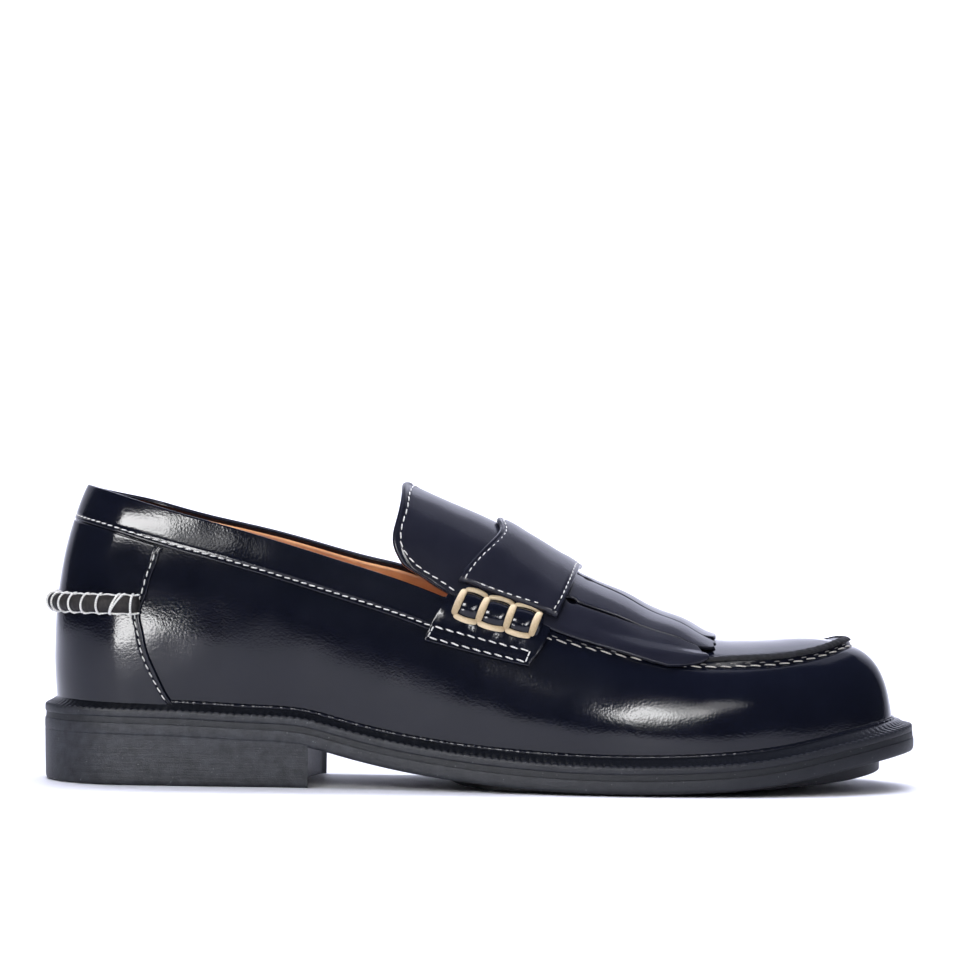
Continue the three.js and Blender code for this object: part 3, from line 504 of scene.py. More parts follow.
def strand(
    name: str,
    path: Array,
    out: Array,
    wide: Array,
    tall: Array,
    around: int = 10,
    taper: float = 0.0,
) -> bpy.types.Object:
    """A cord along a path: an ellipse across each place of it, wide along the surface and tall
    out of it, drawn in over its ends and closed there.

    Args:
        name: the piece's name.
        path: its centre line.
        out: direction out of the surface at each place.
        wide: half width.
        tall: half height.
        around: vertices round the ellipse.
        taper: length over which each end rounds off.

    Returns:
        The object.
    """
    points, faces, uv = strand_arrays(path, out, wide, tall, around, taper)
    return new_object(name, points, faces, uv)


def strand_arrays(
    path: Array, out: Array, wide: Array, tall: Array, around: int, taper: float
) -> tuple[Array, Array, Array]:
    """Rings of an ellipse carried along a path; at both ends the ring shrinks along a circle.

    Args:
        path: the cord's middle line.
        out: directions away from what it lies on.
        wide: half its width across the path.
        tall: half its height along out.
        around: vertices of a ring.
        taper: length over which each end rounds off, 0 for a plain cut.

    Returns:
        Vertices, faces and pattern coordinates.
    """
    path = np.asarray(path, float)
    ahead = unit(np.gradient(path, axis=0))
    out = unit(out - ahead * np.sum(out * ahead, -1, keepdims=True))
    across = np.cross(ahead, out)
    run = arc(path)
    room = np.minimum(run, run[-1] - run)
    ends = np.sqrt(np.clip(1 - (1 - np.clip(room / taper, 0, 1)) ** 2, 0.006, 1)) if taper else 1.0
    angle = np.linspace(0, 2 * np.pi, around, endpoint=False)
    wide = (np.asarray(wide) * np.ones(len(path)) * ends)[:, None, None]
    tall = (np.asarray(tall) * np.ones(len(path)) * ends)[:, None, None]
    ring = (
        path[:, None]
        + across[:, None] * wide * np.cos(angle)[None, :, None]
        + out[:, None] * tall * np.sin(angle)[None, :, None]
    )
    n = len(path)
    # Across times out points backwards along the path, so the plain face order faces outwards.
    faces = grid_faces(n, around, loop=True)
    caps = []
    for k in range(1, around - 1, 2):
        nxt = k + 2 if k + 2 < around else k + 1
        caps.append([0, k, k + 1, nxt] if nxt != k + 1 else [0, k, k + 1, k + 1])
    first = np.array(caps)
    last_ring = (n - 1) * around + first[:, ::-1]
    uv = np.stack(np.broadcast_arrays(run[:, None], (np.arange(around) / around)[None, :]), -1)
    faces = np.concatenate([faces, first, last_ring])
    return ring.reshape(-1, 3), tidy_quads(faces), uv.reshape(-1, 2)


def tidy_quads(faces: Array) -> Array:
    """Faces as triangles, without any that has closed up to a line."""
    a, b, c, d = faces.T
    triangles = np.concatenate([np.stack([a, b, c], -1), np.stack([a, c, d], -1)])
    a, b, c = triangles.T
    return triangles[(a != b) & (b != c) & (a != c)]


@dataclass(frozen=True)
class Thread:
    """How one line of stitching is sewn, in millimetres."""

    pitch: float
    length: float
    wide: float
    tall: float
    lean: float = 0.0
    lift: float = 0.0


def resample(path: Array, others: Sequence[Array], places: Array) -> list[Array]:
    """Values along a path at given lengths from its start, straight between its points."""
    run = arc(path)
    return [
        np.stack([np.interp(places, run, column[:, k]) for k in range(column.shape[1])], -1)
        for column in [path, *others]
    ]


def stitch_row(
    name: str, path: Array, out: Array, thread: Thread, places: Optional[Array] = None
) -> bpy.types.Object:
    """A row of stitches along a path. Each stitch is a rounded bead: its section is an ellipse
    that shrinks to its ends as (1 - a to the 4th) to the power one half, and it bows out of the
    leather as 1 - a squared.

    Args:
        name: the piece's name.
        path: the seam's line on the surface.
        out: the surface's normals along it.
        thread: how it is sewn.
        places: run of each stitch's middle, where they aren't evenly spread.

    Returns:
        The object, all stitches in one mesh.
    """
    if places is None:
        total = arc(path)[-1]
        count = max(1, int(round(total / thread.pitch)))
        places = (np.arange(count) + 0.5) * total / count
    count = len(places)
    centre, normal = resample(path, [out], places)
    before, = resample(path, [], places - 0.3)
    after, = resample(path, [], places + 0.3)
    normal = unit(normal)
    ahead = unit(after - before)
    across = unit(np.cross(ahead, normal))
    turn = math.radians(thread.lean)
    ahead, across = (
        ahead * math.cos(turn) + across * math.sin(turn),
        across * math.cos(turn) - ahead * math.sin(turn),
    )
    a = np.linspace(-1, 1, 8)
    angle = np.linspace(0, 2 * np.pi, 6, endpoint=False)
    size = np.sqrt(np.clip(1 - a**4, 0.0004, 1))
    x = np.repeat(a * thread.length / 2, 6)
    y = (size[:, None] * np.cos(angle)).reshape(-1) * thread.wide / 2
    z = (size[:, None] * np.sin(angle)).reshape(-1) * thread.tall / 2
    z = z + thread.lift + 0.35 * thread.tall * (1 - np.repeat(a, 6) ** 2)
    points = (
        centre[:, None]
        + ahead[:, None] * x[None, :, None]
        + across[:, None] * y[None, :, None]
        + normal[:, None] * z[None, :, None]
    )
    ring = len(angle)
    faces = grid_faces(len(a), ring, loop=True)
    cap = np.array([[0, 1, 2, 3], [0, 3, 4, 5]])
    faces = np.concatenate([faces, cap, (len(a) - 1) * ring + cap[:, ::-1]])
    number = len(a) * ring
    faces = faces[None] + (np.arange(count) * number)[:, None, None]
    flow = np.stack([np.repeat((a + 1) / 2, ring) * thread.length, np.tile(angle / (2 * np.pi), len(a))], -1)
    return new_object(name, points.reshape(-1, 3), faces.reshape(-1, 4), np.tile(flow, (count, 1)))


def seam_line(
    last: Last, knots: Sequence[tuple[float, float]], side: Side, offset: float
) -> tuple[Array, Array]:
    """A seam on the last through knots of station and height on the section.

    Args:
        last: the last.
        knots: pairs of u and t, with t from 0 at the foot to 1 on the spine.
        side: which side.
        offset: how far over the last the thread lies.

    Returns:
        Points and normals along it.
    """
    knots = np.asarray(knots, float)
    along = np.concatenate([[0], np.cumsum(np.hypot(np.diff(knots[:, 0]) * 3, np.diff(knots[:, 1])))])
    s = np.linspace(0, along[-1], 400)
    u = Spline(along, knots[:, 0])(s)
    w = side.value * (1 - Spline(along, knots[:, 1])(s))
    w = np.where(np.abs(w) < 1e-9, side.value * 1e-9, w)
    normal = last.normal(u, w)
    return last.point(u, w) + offset * normal, normal


def seam_between(last: Last, u: Array, w: Array, offset: Array) -> tuple[Array, Array]:
    """A line over the last through dense places u and w, with its normals."""
    w = np.where(np.abs(w) < 1e-9, 1e-9, w)
    normal = last.normal(u, w)
    return last.point(u, w) + np.asarray(offset)[..., None] * normal, normal


def leather_waves(p: Array) -> Array:
    """Slow unevenness of leather drawn over a last, a sum of four sines across space."""
    x, y, z = p[..., 0], p[..., 1], p[..., 2]
    return (
        0.50 * np.sin(0.171 * x + 0.233 * z + 1.3)
        + 0.35 * np.sin(0.263 * x - 0.319 * z + 0.141 * y + 4.1)
        + 0.25 * np.sin(0.405 * z + 0.117 * x - 0.201 * y + 2.2)
        + 0.20 * np.sin(0.487 * x + 0.377 * y + 0.7)
    )


@dataclass
class Upper:
    """The upper with its apron seam, lining, collar band and heel counter."""

    last: Last
    skin: float = 1.1
    ridge: float = 1.7
    overlay: float = 1.15
    seam_in: float = 1.35

    def seam_hill(self, u: Array, t: Array) -> Array:
        """Height of the apron ridge alone: half a cosine wave across it, higher towards the toe."""
        past = t - self.last.seam(u)
        hill = np.cos(np.clip((past - 0.040) / 0.058, -1, 1) * np.pi / 2) ** 1.5
        return smooth(u, 0.50, 0.56) * self.ridge * self.last.seam_rise(u) * hill

    def seam_bump(self, u: Array, t: Array) -> Array:
        """Height of the apron ridge with the shallow gathers where each stitch pulls it in and
        the ditch at its foot."""
        past = t - self.last.seam(u)
        rise = self.last.seam_rise(u)
        stations = np.linspace(0, 1, 600)
        run = arc(self.last.point(stations, -(1 - self.last.seam(stations))))
        gather = 0.5 + 0.5 * np.cos(2 * np.pi * np.interp(u, stations, run) / 4.6)
        face = bump(past, 0.004, 0.014)
        ditch = -0.16 * bump(past, -0.020, 0.016) * np.clip(rise * 2.2, 0.3, 1)
        return self.seam_hill(u, t) + smooth(u, 0.50, 0.56) * (ditch - 0.08 * face * gather)

    def heights(self, side: Side, columns: int, rows: int) -> tuple[Array, Array, Array]:
        """Stations and section heights of the upper's grid on one side: even shares up to the
        topline at the back, rows crowded about the ridge in front. The lower rows follow the
        topline averaged over some stations, and only the last ones bend with its corners.

        Args:
            side: which side.
            columns: stations of the grid.
            rows: heights of the grid.

        Returns:
            u and t of the grid, and each column's top share.
        """
        u = np.linspace(0, 1, columns)
        top = self.last.height_at(u, side, lambda x: self.last.mouth(x, side))
        even = crowded(rows, 0.5)
        seam = self.last.seam(u)[:, None]
        third = rows // 3
        low = np.linspace(0, 1, third, endpoint=False)
        mid = np.linspace(0, 1, third, endpoint=False)
        high = np.linspace(0, 1, rows - 2 * third)
        ranged = np.concatenate([
            low[None] * (seam - 0.045),
            (seam - 0.045) + mid[None] * 0.155,
            (seam + 0.11) + high[None] * (0.89 - seam),
        ], 1)
        blend = smooth(u, 0.46, 0.55)[:, None]
        share = even[None] * (1 - blend) + ranged * blend
        window = np.hanning(CALM_STATIONS) / np.hanning(CALM_STATIONS).sum()
        calm = np.convolve(np.pad(top, CALM_STATIONS // 2, mode="edge"), window, "valid")[:, None]
        t = share * calm + share**6 * (top[:, None] - calm)
        return np.broadcast_to(u[:, None], t.shape), t, top

    def shell(self, name: str, low: float, high: float, ridged: bool, grid: tuple[int, int],
              drop: tuple[float, float] = (0.0, 0.0)) -> bpy.types.Object:
        """Both sides of a layer of the upper, joined at heel, toe and spine, its rim rounded.

        Args:
            name: the piece's name.
            low: offset of its inner face.
            high: offset of its outer face.
            ridged: whether the apron seam shows on it.
            grid: columns and rows of the mesh on each side.
            drop: how far its rim lies under the topline, as shares of the section at the back
                and near the throat.

        Returns:
            The object.
        """
        sides = {side: self.heights(side, *grid) for side in Side}
        split = np.any([top < CLOSED for _, _, top in sides.values()], axis=0)
        open_top = split[:, None]
        halves = []
        for side, (u, t, _) in sides.items():
            lower = drop[0] + (drop[1] - drop[0]) * smooth(u, 0.25, 0.42)
            t = t * np.where(open_top, 1 - lower, 1)
            w = side.value * np.maximum(1 - t, 0)
            w = np.where(w == 0, side.value * 1e-9, w)
            base, out = self.last.point(u, w), self.last.normal(u, w)
            run = arc(base, 1)
            to_rim = np.where(open_top, run[:, -1:] - run, 99)
            near = np.clip(np.minimum(to_rim, run) / 0.8, 0, 1)
            full = np.sqrt(1 - (1 - near) ** 2)
            extra = 0.0
            if ridged:
                extra = near * (self.seam_bump(u, t) + 0.05 * leather_waves(base))
            middle, half = (low + high) / 2, (high - low) / 2
            face = base + out * (middle + half * full + extra)[..., None]
            back = base + out * (middle - half * full)[..., None]
            halves.append(np.stack([face, back]))
        lateral, medial = halves
        for line in (np.s_[:, 0], np.s_[:, -1], np.s_[:, ~split, -1]):
            shared = (lateral[line] + medial[line]) / 2
            lateral[line], medial[line] = shared, shared
        quads, size = grid_faces(*grid), grid[0] * grid[1]
        faces = [quads, quads[:, ::-1] + size, quads[:, ::-1] + 2 * size, quads + 3 * size]
        rim = (np.flatnonzero(split)[-1] + 1) * grid[1] - 1
        spine = rim + grid[1]
        faces.append([[rim, spine, rim + 2 * size, spine + size]])
        return new_object(name, np.concatenate(halves).reshape(-1, 3), np.concatenate(faces), merge=True)

    def collar(self, side: Side, u: Array, down: float) -> Array:
        """Section heights of a line that runs below the topline by a given height."""
        return self.last.height_at(u, side, lambda x: self.last.topline(x, side) - down)

    def round_heel(self, s: Array, down: float) -> Array:
        """Signed heights w of a line below the topline for signed stations s, which run from
        the lateral side through the back of the heel to the medial side."""
        lateral = self.collar(Side.LATERAL, np.abs(s), down)
        medial = self.collar(Side.MEDIAL, np.abs(s), down)
        return 1 - np.where(s < 0, lateral, medial)

    def band(self) -> bpy.types.Object:
        """The collar band, a strip round the whole collar, pressed in along its seam.

        Returns:
            The object.
        """
        s = np.linspace(-0.4925, 0.4925, 430)
        high, low = self.round_heel(s, 0.0), self.round_heel(s, self.last.band_height)
        v = crowded(34)
        w = high[:, None] + (low - high)[:, None] * v[None]
        u = np.broadcast_to(s[:, None], w.shape)
        base = self.last.point(u, w)
        run = arc(base, 1)
        press = -0.30 * bump(run[:, -1:] - run, self.seam_in, 0.55) + 0.05 * leather_waves(base * 1.3)
        return leather_sheet("collar_band_leather", self.last, u, w, 0.02, self.overlay, 0.55, press)

    def counter(self) -> bpy.types.Object:
        """The heel counter: it narrows and widens again along its curved front seam.

        Returns:
            The object.
        """
        up = [0.0, 0.016, 0.19, 0.34, 0.45, 0.52, 0.57, 0.67, 0.80, 0.90, 0.98, 1.0]
        edge = [0.256, 0.254, 0.239, 0.228, 0.224, 0.221, 0.2215, 0.2275, 0.2325, 0.2375, 0.2405, 0.2425]
        v = crowded(70, 0.8)
        reach = Spline(up, edge)(1 - v)
        a = 2 * crowded(150, 0.85) - 1
        u = a[:, None] * reach[None]
        stations = np.linspace(0, 0.27, 80)
        foot = self.last.band_height + 0.25
        tops = {side: self.collar(side, stations, foot) for side in Side}
        top = np.where(
            u < 0,
            np.interp(np.abs(u), stations, tops[Side.LATERAL]),
            np.interp(np.abs(u), stations, tops[Side.MEDIAL]),
        )
        w = 1 - top * (1 - v[None])
        base = self.last.point(u, w)
        run = arc(base, 0)
        side_run = np.minimum(run, run[-1:] - run)
        press = -0.30 * bump(side_run, self.seam_in, 0.55) + 0.04 * leather_waves(base * 1.4)
        return leather_sheet("counter_leather", self.last, u, w, 0.02, self.overlay, 0.5, press)

    def threads(self) -> list[bpy.types.Object]:
        """Stitching of the collar band, of the counter and of the apron.

        Returns:
            The objects.
        """
        made = []
        s = np.linspace(-0.4715, 0.4715, 900)
        w = self.round_heel(s, self.last.band_height - self.seam_in)
        path, out = seam_between(self.last, s, w, self.overlay - 0.12)
        fine = Thread(2.68, 2.05, 0.40, 0.34, lean=-6)
        made.append(stitch_row("collar_thread", path, out, fine))
        knots = [
            (0.2345, 0.415), (0.2315, 0.390), (0.2265, 0.347), (0.2212, 0.293), (0.2155, 0.247),
            (0.2152, 0.227), (0.218, 0.197), (0.222, 0.147), (0.232, 0.083), (0.2465, 0.012),
        ]
        for side in Side:
            path, out = seam_line(self.last, knots, side, self.overlay - 0.12)
            made.append(stitch_row(f"counter_thread_{side.name.lower()}", path, out, fine))
        return made

    def apron_line(self, past: float, n: int = 1600) -> tuple[Array, Array, Array, Array]:
        """Stations, section heights and signed heights of a line beside the apron seam, from under
        one strap end round the toe to the other."""
        s = np.linspace(0.548, 1.452, n)
        u = np.where(s > 1, 2 - s, s)
        t = self.last.seam(u) + past
        return u, t, np.where(s > 1, 1.0, -1.0) * (1 - t), self.last.seam_rise(u)

    def apron_threads(self) -> list[bpy.types.Object]:
        """Two rows along the apron: bold slanted stitches at the foot of the ridge, and fine ones
        over the gaps between them.

        Returns:
            The objects.
        """
        lines = []
        for past in (-0.010, 0.004):
            u, t, w, _ = self.apron_line(past)
            lines.append(seam_between(self.last, u, w, np.maximum(self.seam_bump(u, t), -0.1) + 0.02))
        run, fine_run = arc(lines[0][0]), arc(lines[1][0])
        count = int(run[-1] / 4.6)
        middles = (np.arange(count) + 0.5) * run[-1] / count
        between = np.interp((middles[1:] + middles[:-1]) / 2, run, fine_run)
        bold, fine = Thread(4.6, 3.7, 0.50, 0.42, lean=9), Thread(4.6, 2.0, 0.36, 0.30, lean=2)
        return [
            stitch_row("apron_thread_bold", *lines[0], bold, middles),
            stitch_row("apron_thread_fine", *lines[1], fine, between),
        ]

    def apron_edge(self) -> bpy.types.Object:
        """The cut edge of the apron, a dark raw lip over the face and the top of the ridge."""
        u, t, w, rise = self.apron_line(0.035, 700)
        path, out = seam_between(self.last, u, w, self.seam_hill(u, t) - 0.12)
        run = arc(path)
        rough = 0.06 * np.sin(run * 1.7) + 0.05 * np.sin(run * 3.1 + 1.0)
        return strand("apron_edge", path, out, 0.35 + 1.0 * rise + rough, 0.12 + 0.38 * rise + rough, 12, 3.0)


@dataclass
class HeelRoll:
    """The rough leather roll whipped round the back of the heel."""

    last: Last
    wide: float = 2.95
    tall: float = 3.1
    centre: float = 1.5
    height: float = 55.7
    reach: float = 0.222
    thread: float = 0.36
    pitch: float = 5.0

    def line(self, n: int = 240) -> tuple[Array, Array, Array]:
        """Centre line, outward directions and run of the roll, level round the heel."""
        s = np.linspace(-self.reach, self.reach, n)
        sides = [self.last.height_at(np.abs(s), side, lambda x: self.height + 0 * x) for side in Side]
        w = 1 - np.where(s < 0, sides[0], sides[1])
        out = self.last.normal(s, w)
        out[:, 2] = 0
        out = unit(out)
        path = self.last.point(s, w) + self.centre * out
        path[:, 2] = self.height
        return path, out, arc(path)

    def wraps(self) -> Array:
        """Places of the whip stitches along the roll."""
        run = self.line()[2]
        count = int(run[-1] // self.pitch)
        return (np.arange(count) + 0.5) * run[-1] / count

    def roll(self) -> bpy.types.Object:
        """The roll, drawn in under each wrap and a little lumpy."""
        path, out, run = self.line()
        waist = sum(bump(run, place, 0.7) for place in self.wraps())
        lumps = 0.06 * np.sin(run * 1.9) + 0.05 * np.sin(run * 3.3 + 1)
        return strand(
            "heel_roll", path, out,
            self.wide + lumps - 0.16 * waist, self.tall + lumps - 0.30 * waist, 22, 2.2,
        )

    def whipping(self) -> bpy.types.Object:
        """Thread over the roll: a slanted loop at each place and a line along its top and foot.

        Returns:
            The object.
        """
        path, out, run = self.line()
        up = np.array([0.0, 0.0, 1.0])
        sets = []
        places = self.wraps()
        for k, place in enumerate(places):
            centre, normal = (v[0] for v in resample(path, [out], np.array([place])))
            ahead = unit(np.cross(up, normal))
            angle = np.linspace(math.radians(-8), math.radians(188), 26)
            face = unit(up * np.cos(angle)[:, None] + normal * np.sin(angle)[:, None])
            crossed = k in (1, len(places) - 2)
            for lean, aside in ((1.5, -0.3), (2.3, 0.5)) if crossed else ((0.55 if k % 2 else 0.25, 0.0),):
                wire = (
                    centre
                    + up * ((self.wide + 0.16) * np.cos(angle))[:, None]
                    + normal * ((self.tall - 0.12) * np.sin(angle))[:, None]
                    + ahead * (lean * np.cos(angle) + aside)[:, None]
                )
                sets.append(strand_arrays(wire, face, self.thread, self.thread, 7, 0.5))
        steep = math.radians(20)
        wave = 0.16 * np.cos(2 * np.pi * run / self.pitch)
        for sign in (1, -1):
            level = sign * (self.wide + 0.05) * math.cos(steep) + wave
            wire = path + up * level[:, None] + out * (self.tall * math.sin(steep))
            sets.append(strand_arrays(wire, out, self.thread * 0.8, self.thread * 0.8, 7, 0.5))
        return joined("heel_roll_thread", sets)


def joined(name: str, sets: Sequence[tuple[Array, Array, Array]]) -> bpy.types.Object:
    """One object from several sets of vertices, triangles and pattern coordinates.

    Returns:
        The object.
    """
    start, faces = 0, []
    for points, triangles, _ in sets:
        faces.append(triangles + start)
        start += len(points)
    return new_object(
        name,
        np.concatenate([points for points, _, _ in sets]),
        np.concatenate(faces),
        np.concatenate([uv for _, _, uv in sets]),
    )


@dataclass
class Instep:
    """Tongue, saddle strap and fringed kiltie over the instep."""

    last: Last
    upper: Upper
    tongue_low: float = 0.3
    tongue_high: float = 1.9
    strap_low: float = 2.2
    strap_high: float = 3.9
    kiltie_thick: float = 1.05
    seam_in: float = 1.35

    def across(self, knots: Sequence[tuple[float, float]]) -> Spline:
        """Station of an edge as an even function of the signed height w.

        Args:
            knots: pairs of t and u, with t rising to 1 at the spine.

        Returns:
            The spline of u against w.
        """
        half = np.asarray([(t - 1, u) for t, u in knots])
        both = np.concatenate([half, (half * [-1, 1])[::-1][1:]])
        return Spline(both[:, 0], both[:, 1])

    def tongue(self) -> bpy.types.Object:
        """The tongue, rounded at its free back edge and pressed in along its seam.

        Returns:
            The object.
        """
        edge = self.across([
            (0.485, 0.484), (0.493, 0.474), (0.515, 0.459), (0.533, 0.446), (0.553, 0.4395), (0.58, 0.4345),
            (0.627, 0.4295), (0.69, 0.4265), (0.803, 0.4195), (0.90, 0.410), (1.0, 0.4025),
        ])
        w = np.linspace(-0.515, 0.515, 200)[None]
        a = crowded(90, 0.85)[:, None]
        u = edge(w) + (0.535 - edge(w)) * a
        w = np.broadcast_to(w, u.shape)
        base = self.last.point(u, w)
        run = arc(base, 0)
        press = -0.30 * bump(run, 2.2, 0.6) + 0.25 * bump(run, 0.9, 0.8) + 0.10 * leather_waves(base)
        spring = 0.7 * np.exp(-run / 7.0) * smooth(1 - np.abs(w), 0.55, 0.9)
        return leather_sheet(
            "tongue_leather", self.last, u, w,
            self.tongue_low + spring, self.tongue_high + spring, 0.75, press,
        )

    def strap_edges(self) -> tuple[Spline, Spline]:
        """Back and front edges of the saddle strap."""
        back = self.across([
            (0.50, 0.4800), (0.53, 0.4815), (0.57, 0.4825), (0.637, 0.4850), (0.743, 0.4875),
            (0.897, 0.4790), (0.957, 0.4690),
            (1.0, 0.4655),
        ])
        front = self.across([
            (0.46, 0.5545), (0.52, 0.5570), (0.607, 0.5590), (0.70, 0.5595), (0.777, 0.5585), (0.883, 0.5550),
            (0.95, 0.5515), (1.0, 0.5500),
        ])
        return back, front

    def strap(self) -> bpy.types.Object:
        """The saddle strap, its edges folded under and pressed in along both seams.

        Returns:
            The object.
        """
        back, front = self.strap_edges()
        w = np.linspace(-0.4605, 0.4605, 200)[None]
        a = crowded(70, 0.85)[:, None]
        u = back(w) + (front(w) - back(w)) * a
        w = np.broadcast_to(w, u.shape)
        base = self.last.point(u, w)
        run = arc(base, 0)
        near = np.minimum(run, run[-1:] - run)
        press = -0.32 * bump(near, self.seam_in, 0.5) + 0.12 * leather_waves(base + 7)
        press = press + 0.25 * bump(near, 4.5, 3.0)
        sink = 1.1 * smooth(np.abs(w), 0.448, 0.4605)
        return leather_sheet(
            "saddle_strap_leather", self.last, u, w,
            self.strap_low - sink, self.strap_high - sink, 0.75, press,
        )

    def slit(self, which: int, u: Array) -> Array:
        """Height w of a slit of the fringe: 0 lies near the spine, 1 nearer the apron."""
        if which == 0:
            return -0.087 - (u - 0.560) * 0.090 / 0.123
        return Spline(
            [0.54, 0.57, 0.60, 0.635, 0.665, 0.70], [-0.326, -0.333, -0.326, -0.318, -0.318, -0.326]
        )(u)

    def lobe(self, name: str, lower: Callable[[Array], Array], upper: Callable[[Array], Array],
             front: Sequence[tuple[float, float]], gaps: tuple[bool, bool], shut: tuple[float, float],
             side: Side) -> bpy.types.Object:
        """One lobe of the fringe: a strip between two lines that runs out to a pointed end.

        Args:
            name: the piece's name.
            lower: w of its outer line against u, as on the lateral side.
            upper: w of its inner line against u.
            front: pairs of share across and station of its front edge.
            gaps: whether its outer and inner lines are slits.
            shut: how far each slit closes towards the front, as a share.
            side: which side of the shoe it lies on.

        Returns:
            The object.
        """
        b = crowded(46, 0.75)[None]
        a = crowded(120, 0.85)[:, None]
        front = np.asarray(front)
        start = 0.546
        u = start + (Spline(front[:, 0], front[:, 1])(b) - start) * a
        tight = 0.0062 - 0.0030 * smooth(u, 0.60, 0.64)
        eye = 0.019 * np.sqrt(np.clip(1 - ((u - 0.5645) / 0.0042) ** 2, 0, 1))
        clear = np.maximum(tight, eye)
        closing = smooth(u, 0.600, 0.630)
        low = lower(u) + clear * gaps[0] * (1 - shut[0] * closing)
        high = upper(u) - clear * gaps[1] * (1 - shut[1] * closing)
        w = low + (high - low) * b
        if side is Side.MEDIAL:
            u, w = u[:, ::-1], -w[:, ::-1]
        w = np.where(np.abs(w) < 1e-9, 1e-9, w)
        base = self.last.point(u, w)
        seam = self.upper.seam_hill(u, 1 - np.abs(w))
        bridge = 1.85 * bump(u, 0.598, 0.030) + 2.6 * bump(u, 0.654, 0.030)
        lift = 0.40 - 0.30 * smooth(u, 0.62, 0.68) + bridge * smooth(1 - np.abs(w), 0.52, 0.78)
        run = arc(base, 1)
        across = np.minimum(run, run[:, -1:] - run)
        dome = 0.12 * np.clip(across / 6, 0, 1) ** 0.6
        high_face = lift + seam + self.kiltie_thick
        return leather_sheet(
            name, self.last, u, w, lift + seam, high_face, 0.5, dome + 0.06 * leather_waves(base * 1.2)
        )

    def kiltie(self) -> list[bpy.types.Object]:
        """The five lobes of the fringe, from the apron on one side over the spine to the other.

        Returns:
            The objects.
        """
        edge = Spline(
            [0.540, 0.556, 0.590, 0.625, 0.663, 0.70], [-0.500, -0.512, -0.516, -0.514, -0.517, -0.517]
        )
        outer_front = [
            (0.0, 0.652), (0.2, 0.671), (0.42, 0.6865), (0.52, 0.6885), (0.7, 0.685), (1.0, 0.6765),
        ]
        inner_front = [(0.0, 0.6775), (0.12, 0.690), (0.5, 0.694), (0.88, 0.6925), (1.0, 0.680)]
        middle_front = [(0.0, 0.681), (0.15, 0.6945), (0.5, 0.698), (0.85, 0.6945), (1.0, 0.681)]
        made = []
        for side in Side:
            tag = side.name.lower()
            made.append(self.lobe(
                f"kiltie_outer_{tag}", edge, lambda u: self.slit(1, u), outer_front,
                (False, True), (0.0, 0.92), side,
            ))
            made.append(self.lobe(
                f"kiltie_inner_{tag}", lambda u: self.slit(1, u), lambda u: self.slit(0, u), inner_front,
                (True, True), (0.92, 0.2), side,
            ))
        made.append(self.lobe(
            "kiltie_middle", lambda u: self.slit(0, u), lambda u: -self.slit(0, u), middle_front,
            (True, True), (0.2, 0.2), Side.LATERAL,
        ))
        return made

    def threads(self) -> list[bpy.types.Object]:
        """Stitching of the tongue's edge and of both edges of the strap.

        Returns:
            The objects.
        """
        made = []
        tongue = self.across([
            (0.50, 0.4835), (0.527, 0.4675), (0.537, 0.460), (0.553, 0.4515), (0.577, 0.4435), (0.61, 0.437),
            (0.637, 0.4345), (0.677, 0.432), (0.760, 0.428), (0.86, 0.4195), (0.947, 0.412), (1.0, 0.409),
        ])
        back = self.across([
            (0.545, 0.4855), (0.637, 0.4885), (0.743, 0.4920), (0.897, 0.4835), (0.957, 0.4735),
            (1.0, 0.4700),
        ])
        front = self.across([
            (0.555, 0.5535), (0.607, 0.5555), (0.70, 0.5560), (0.777, 0.5548), (0.883, 0.5505),
            (0.95, 0.5470), (1.0, 0.5455),
        ])
        fine = Thread(2.5, 1.75, 0.34, 0.30, lean=-5)
        for name, line, reach, offset, thread in (
            ("tongue_thread", tongue, 0.498, self.tongue_high - 0.1, Thread(3.1, 2.4, 0.40, 0.34, lean=-5)),
            ("strap_thread_back", back, 0.452, self.strap_high - 0.12, fine),
            ("strap_thread_front", front, 0.445, self.strap_high - 0.12, fine),
        ):
            w = np.linspace(-reach, reach, 900)
            if line is tongue:
                offset = offset + 0.5 * smooth(1 - np.abs(w), 0.55, 0.9)
            path, out = seam_between(self.last, line(w), w, offset)
            made.append(stitch_row(name, path, out, thread))
        return made


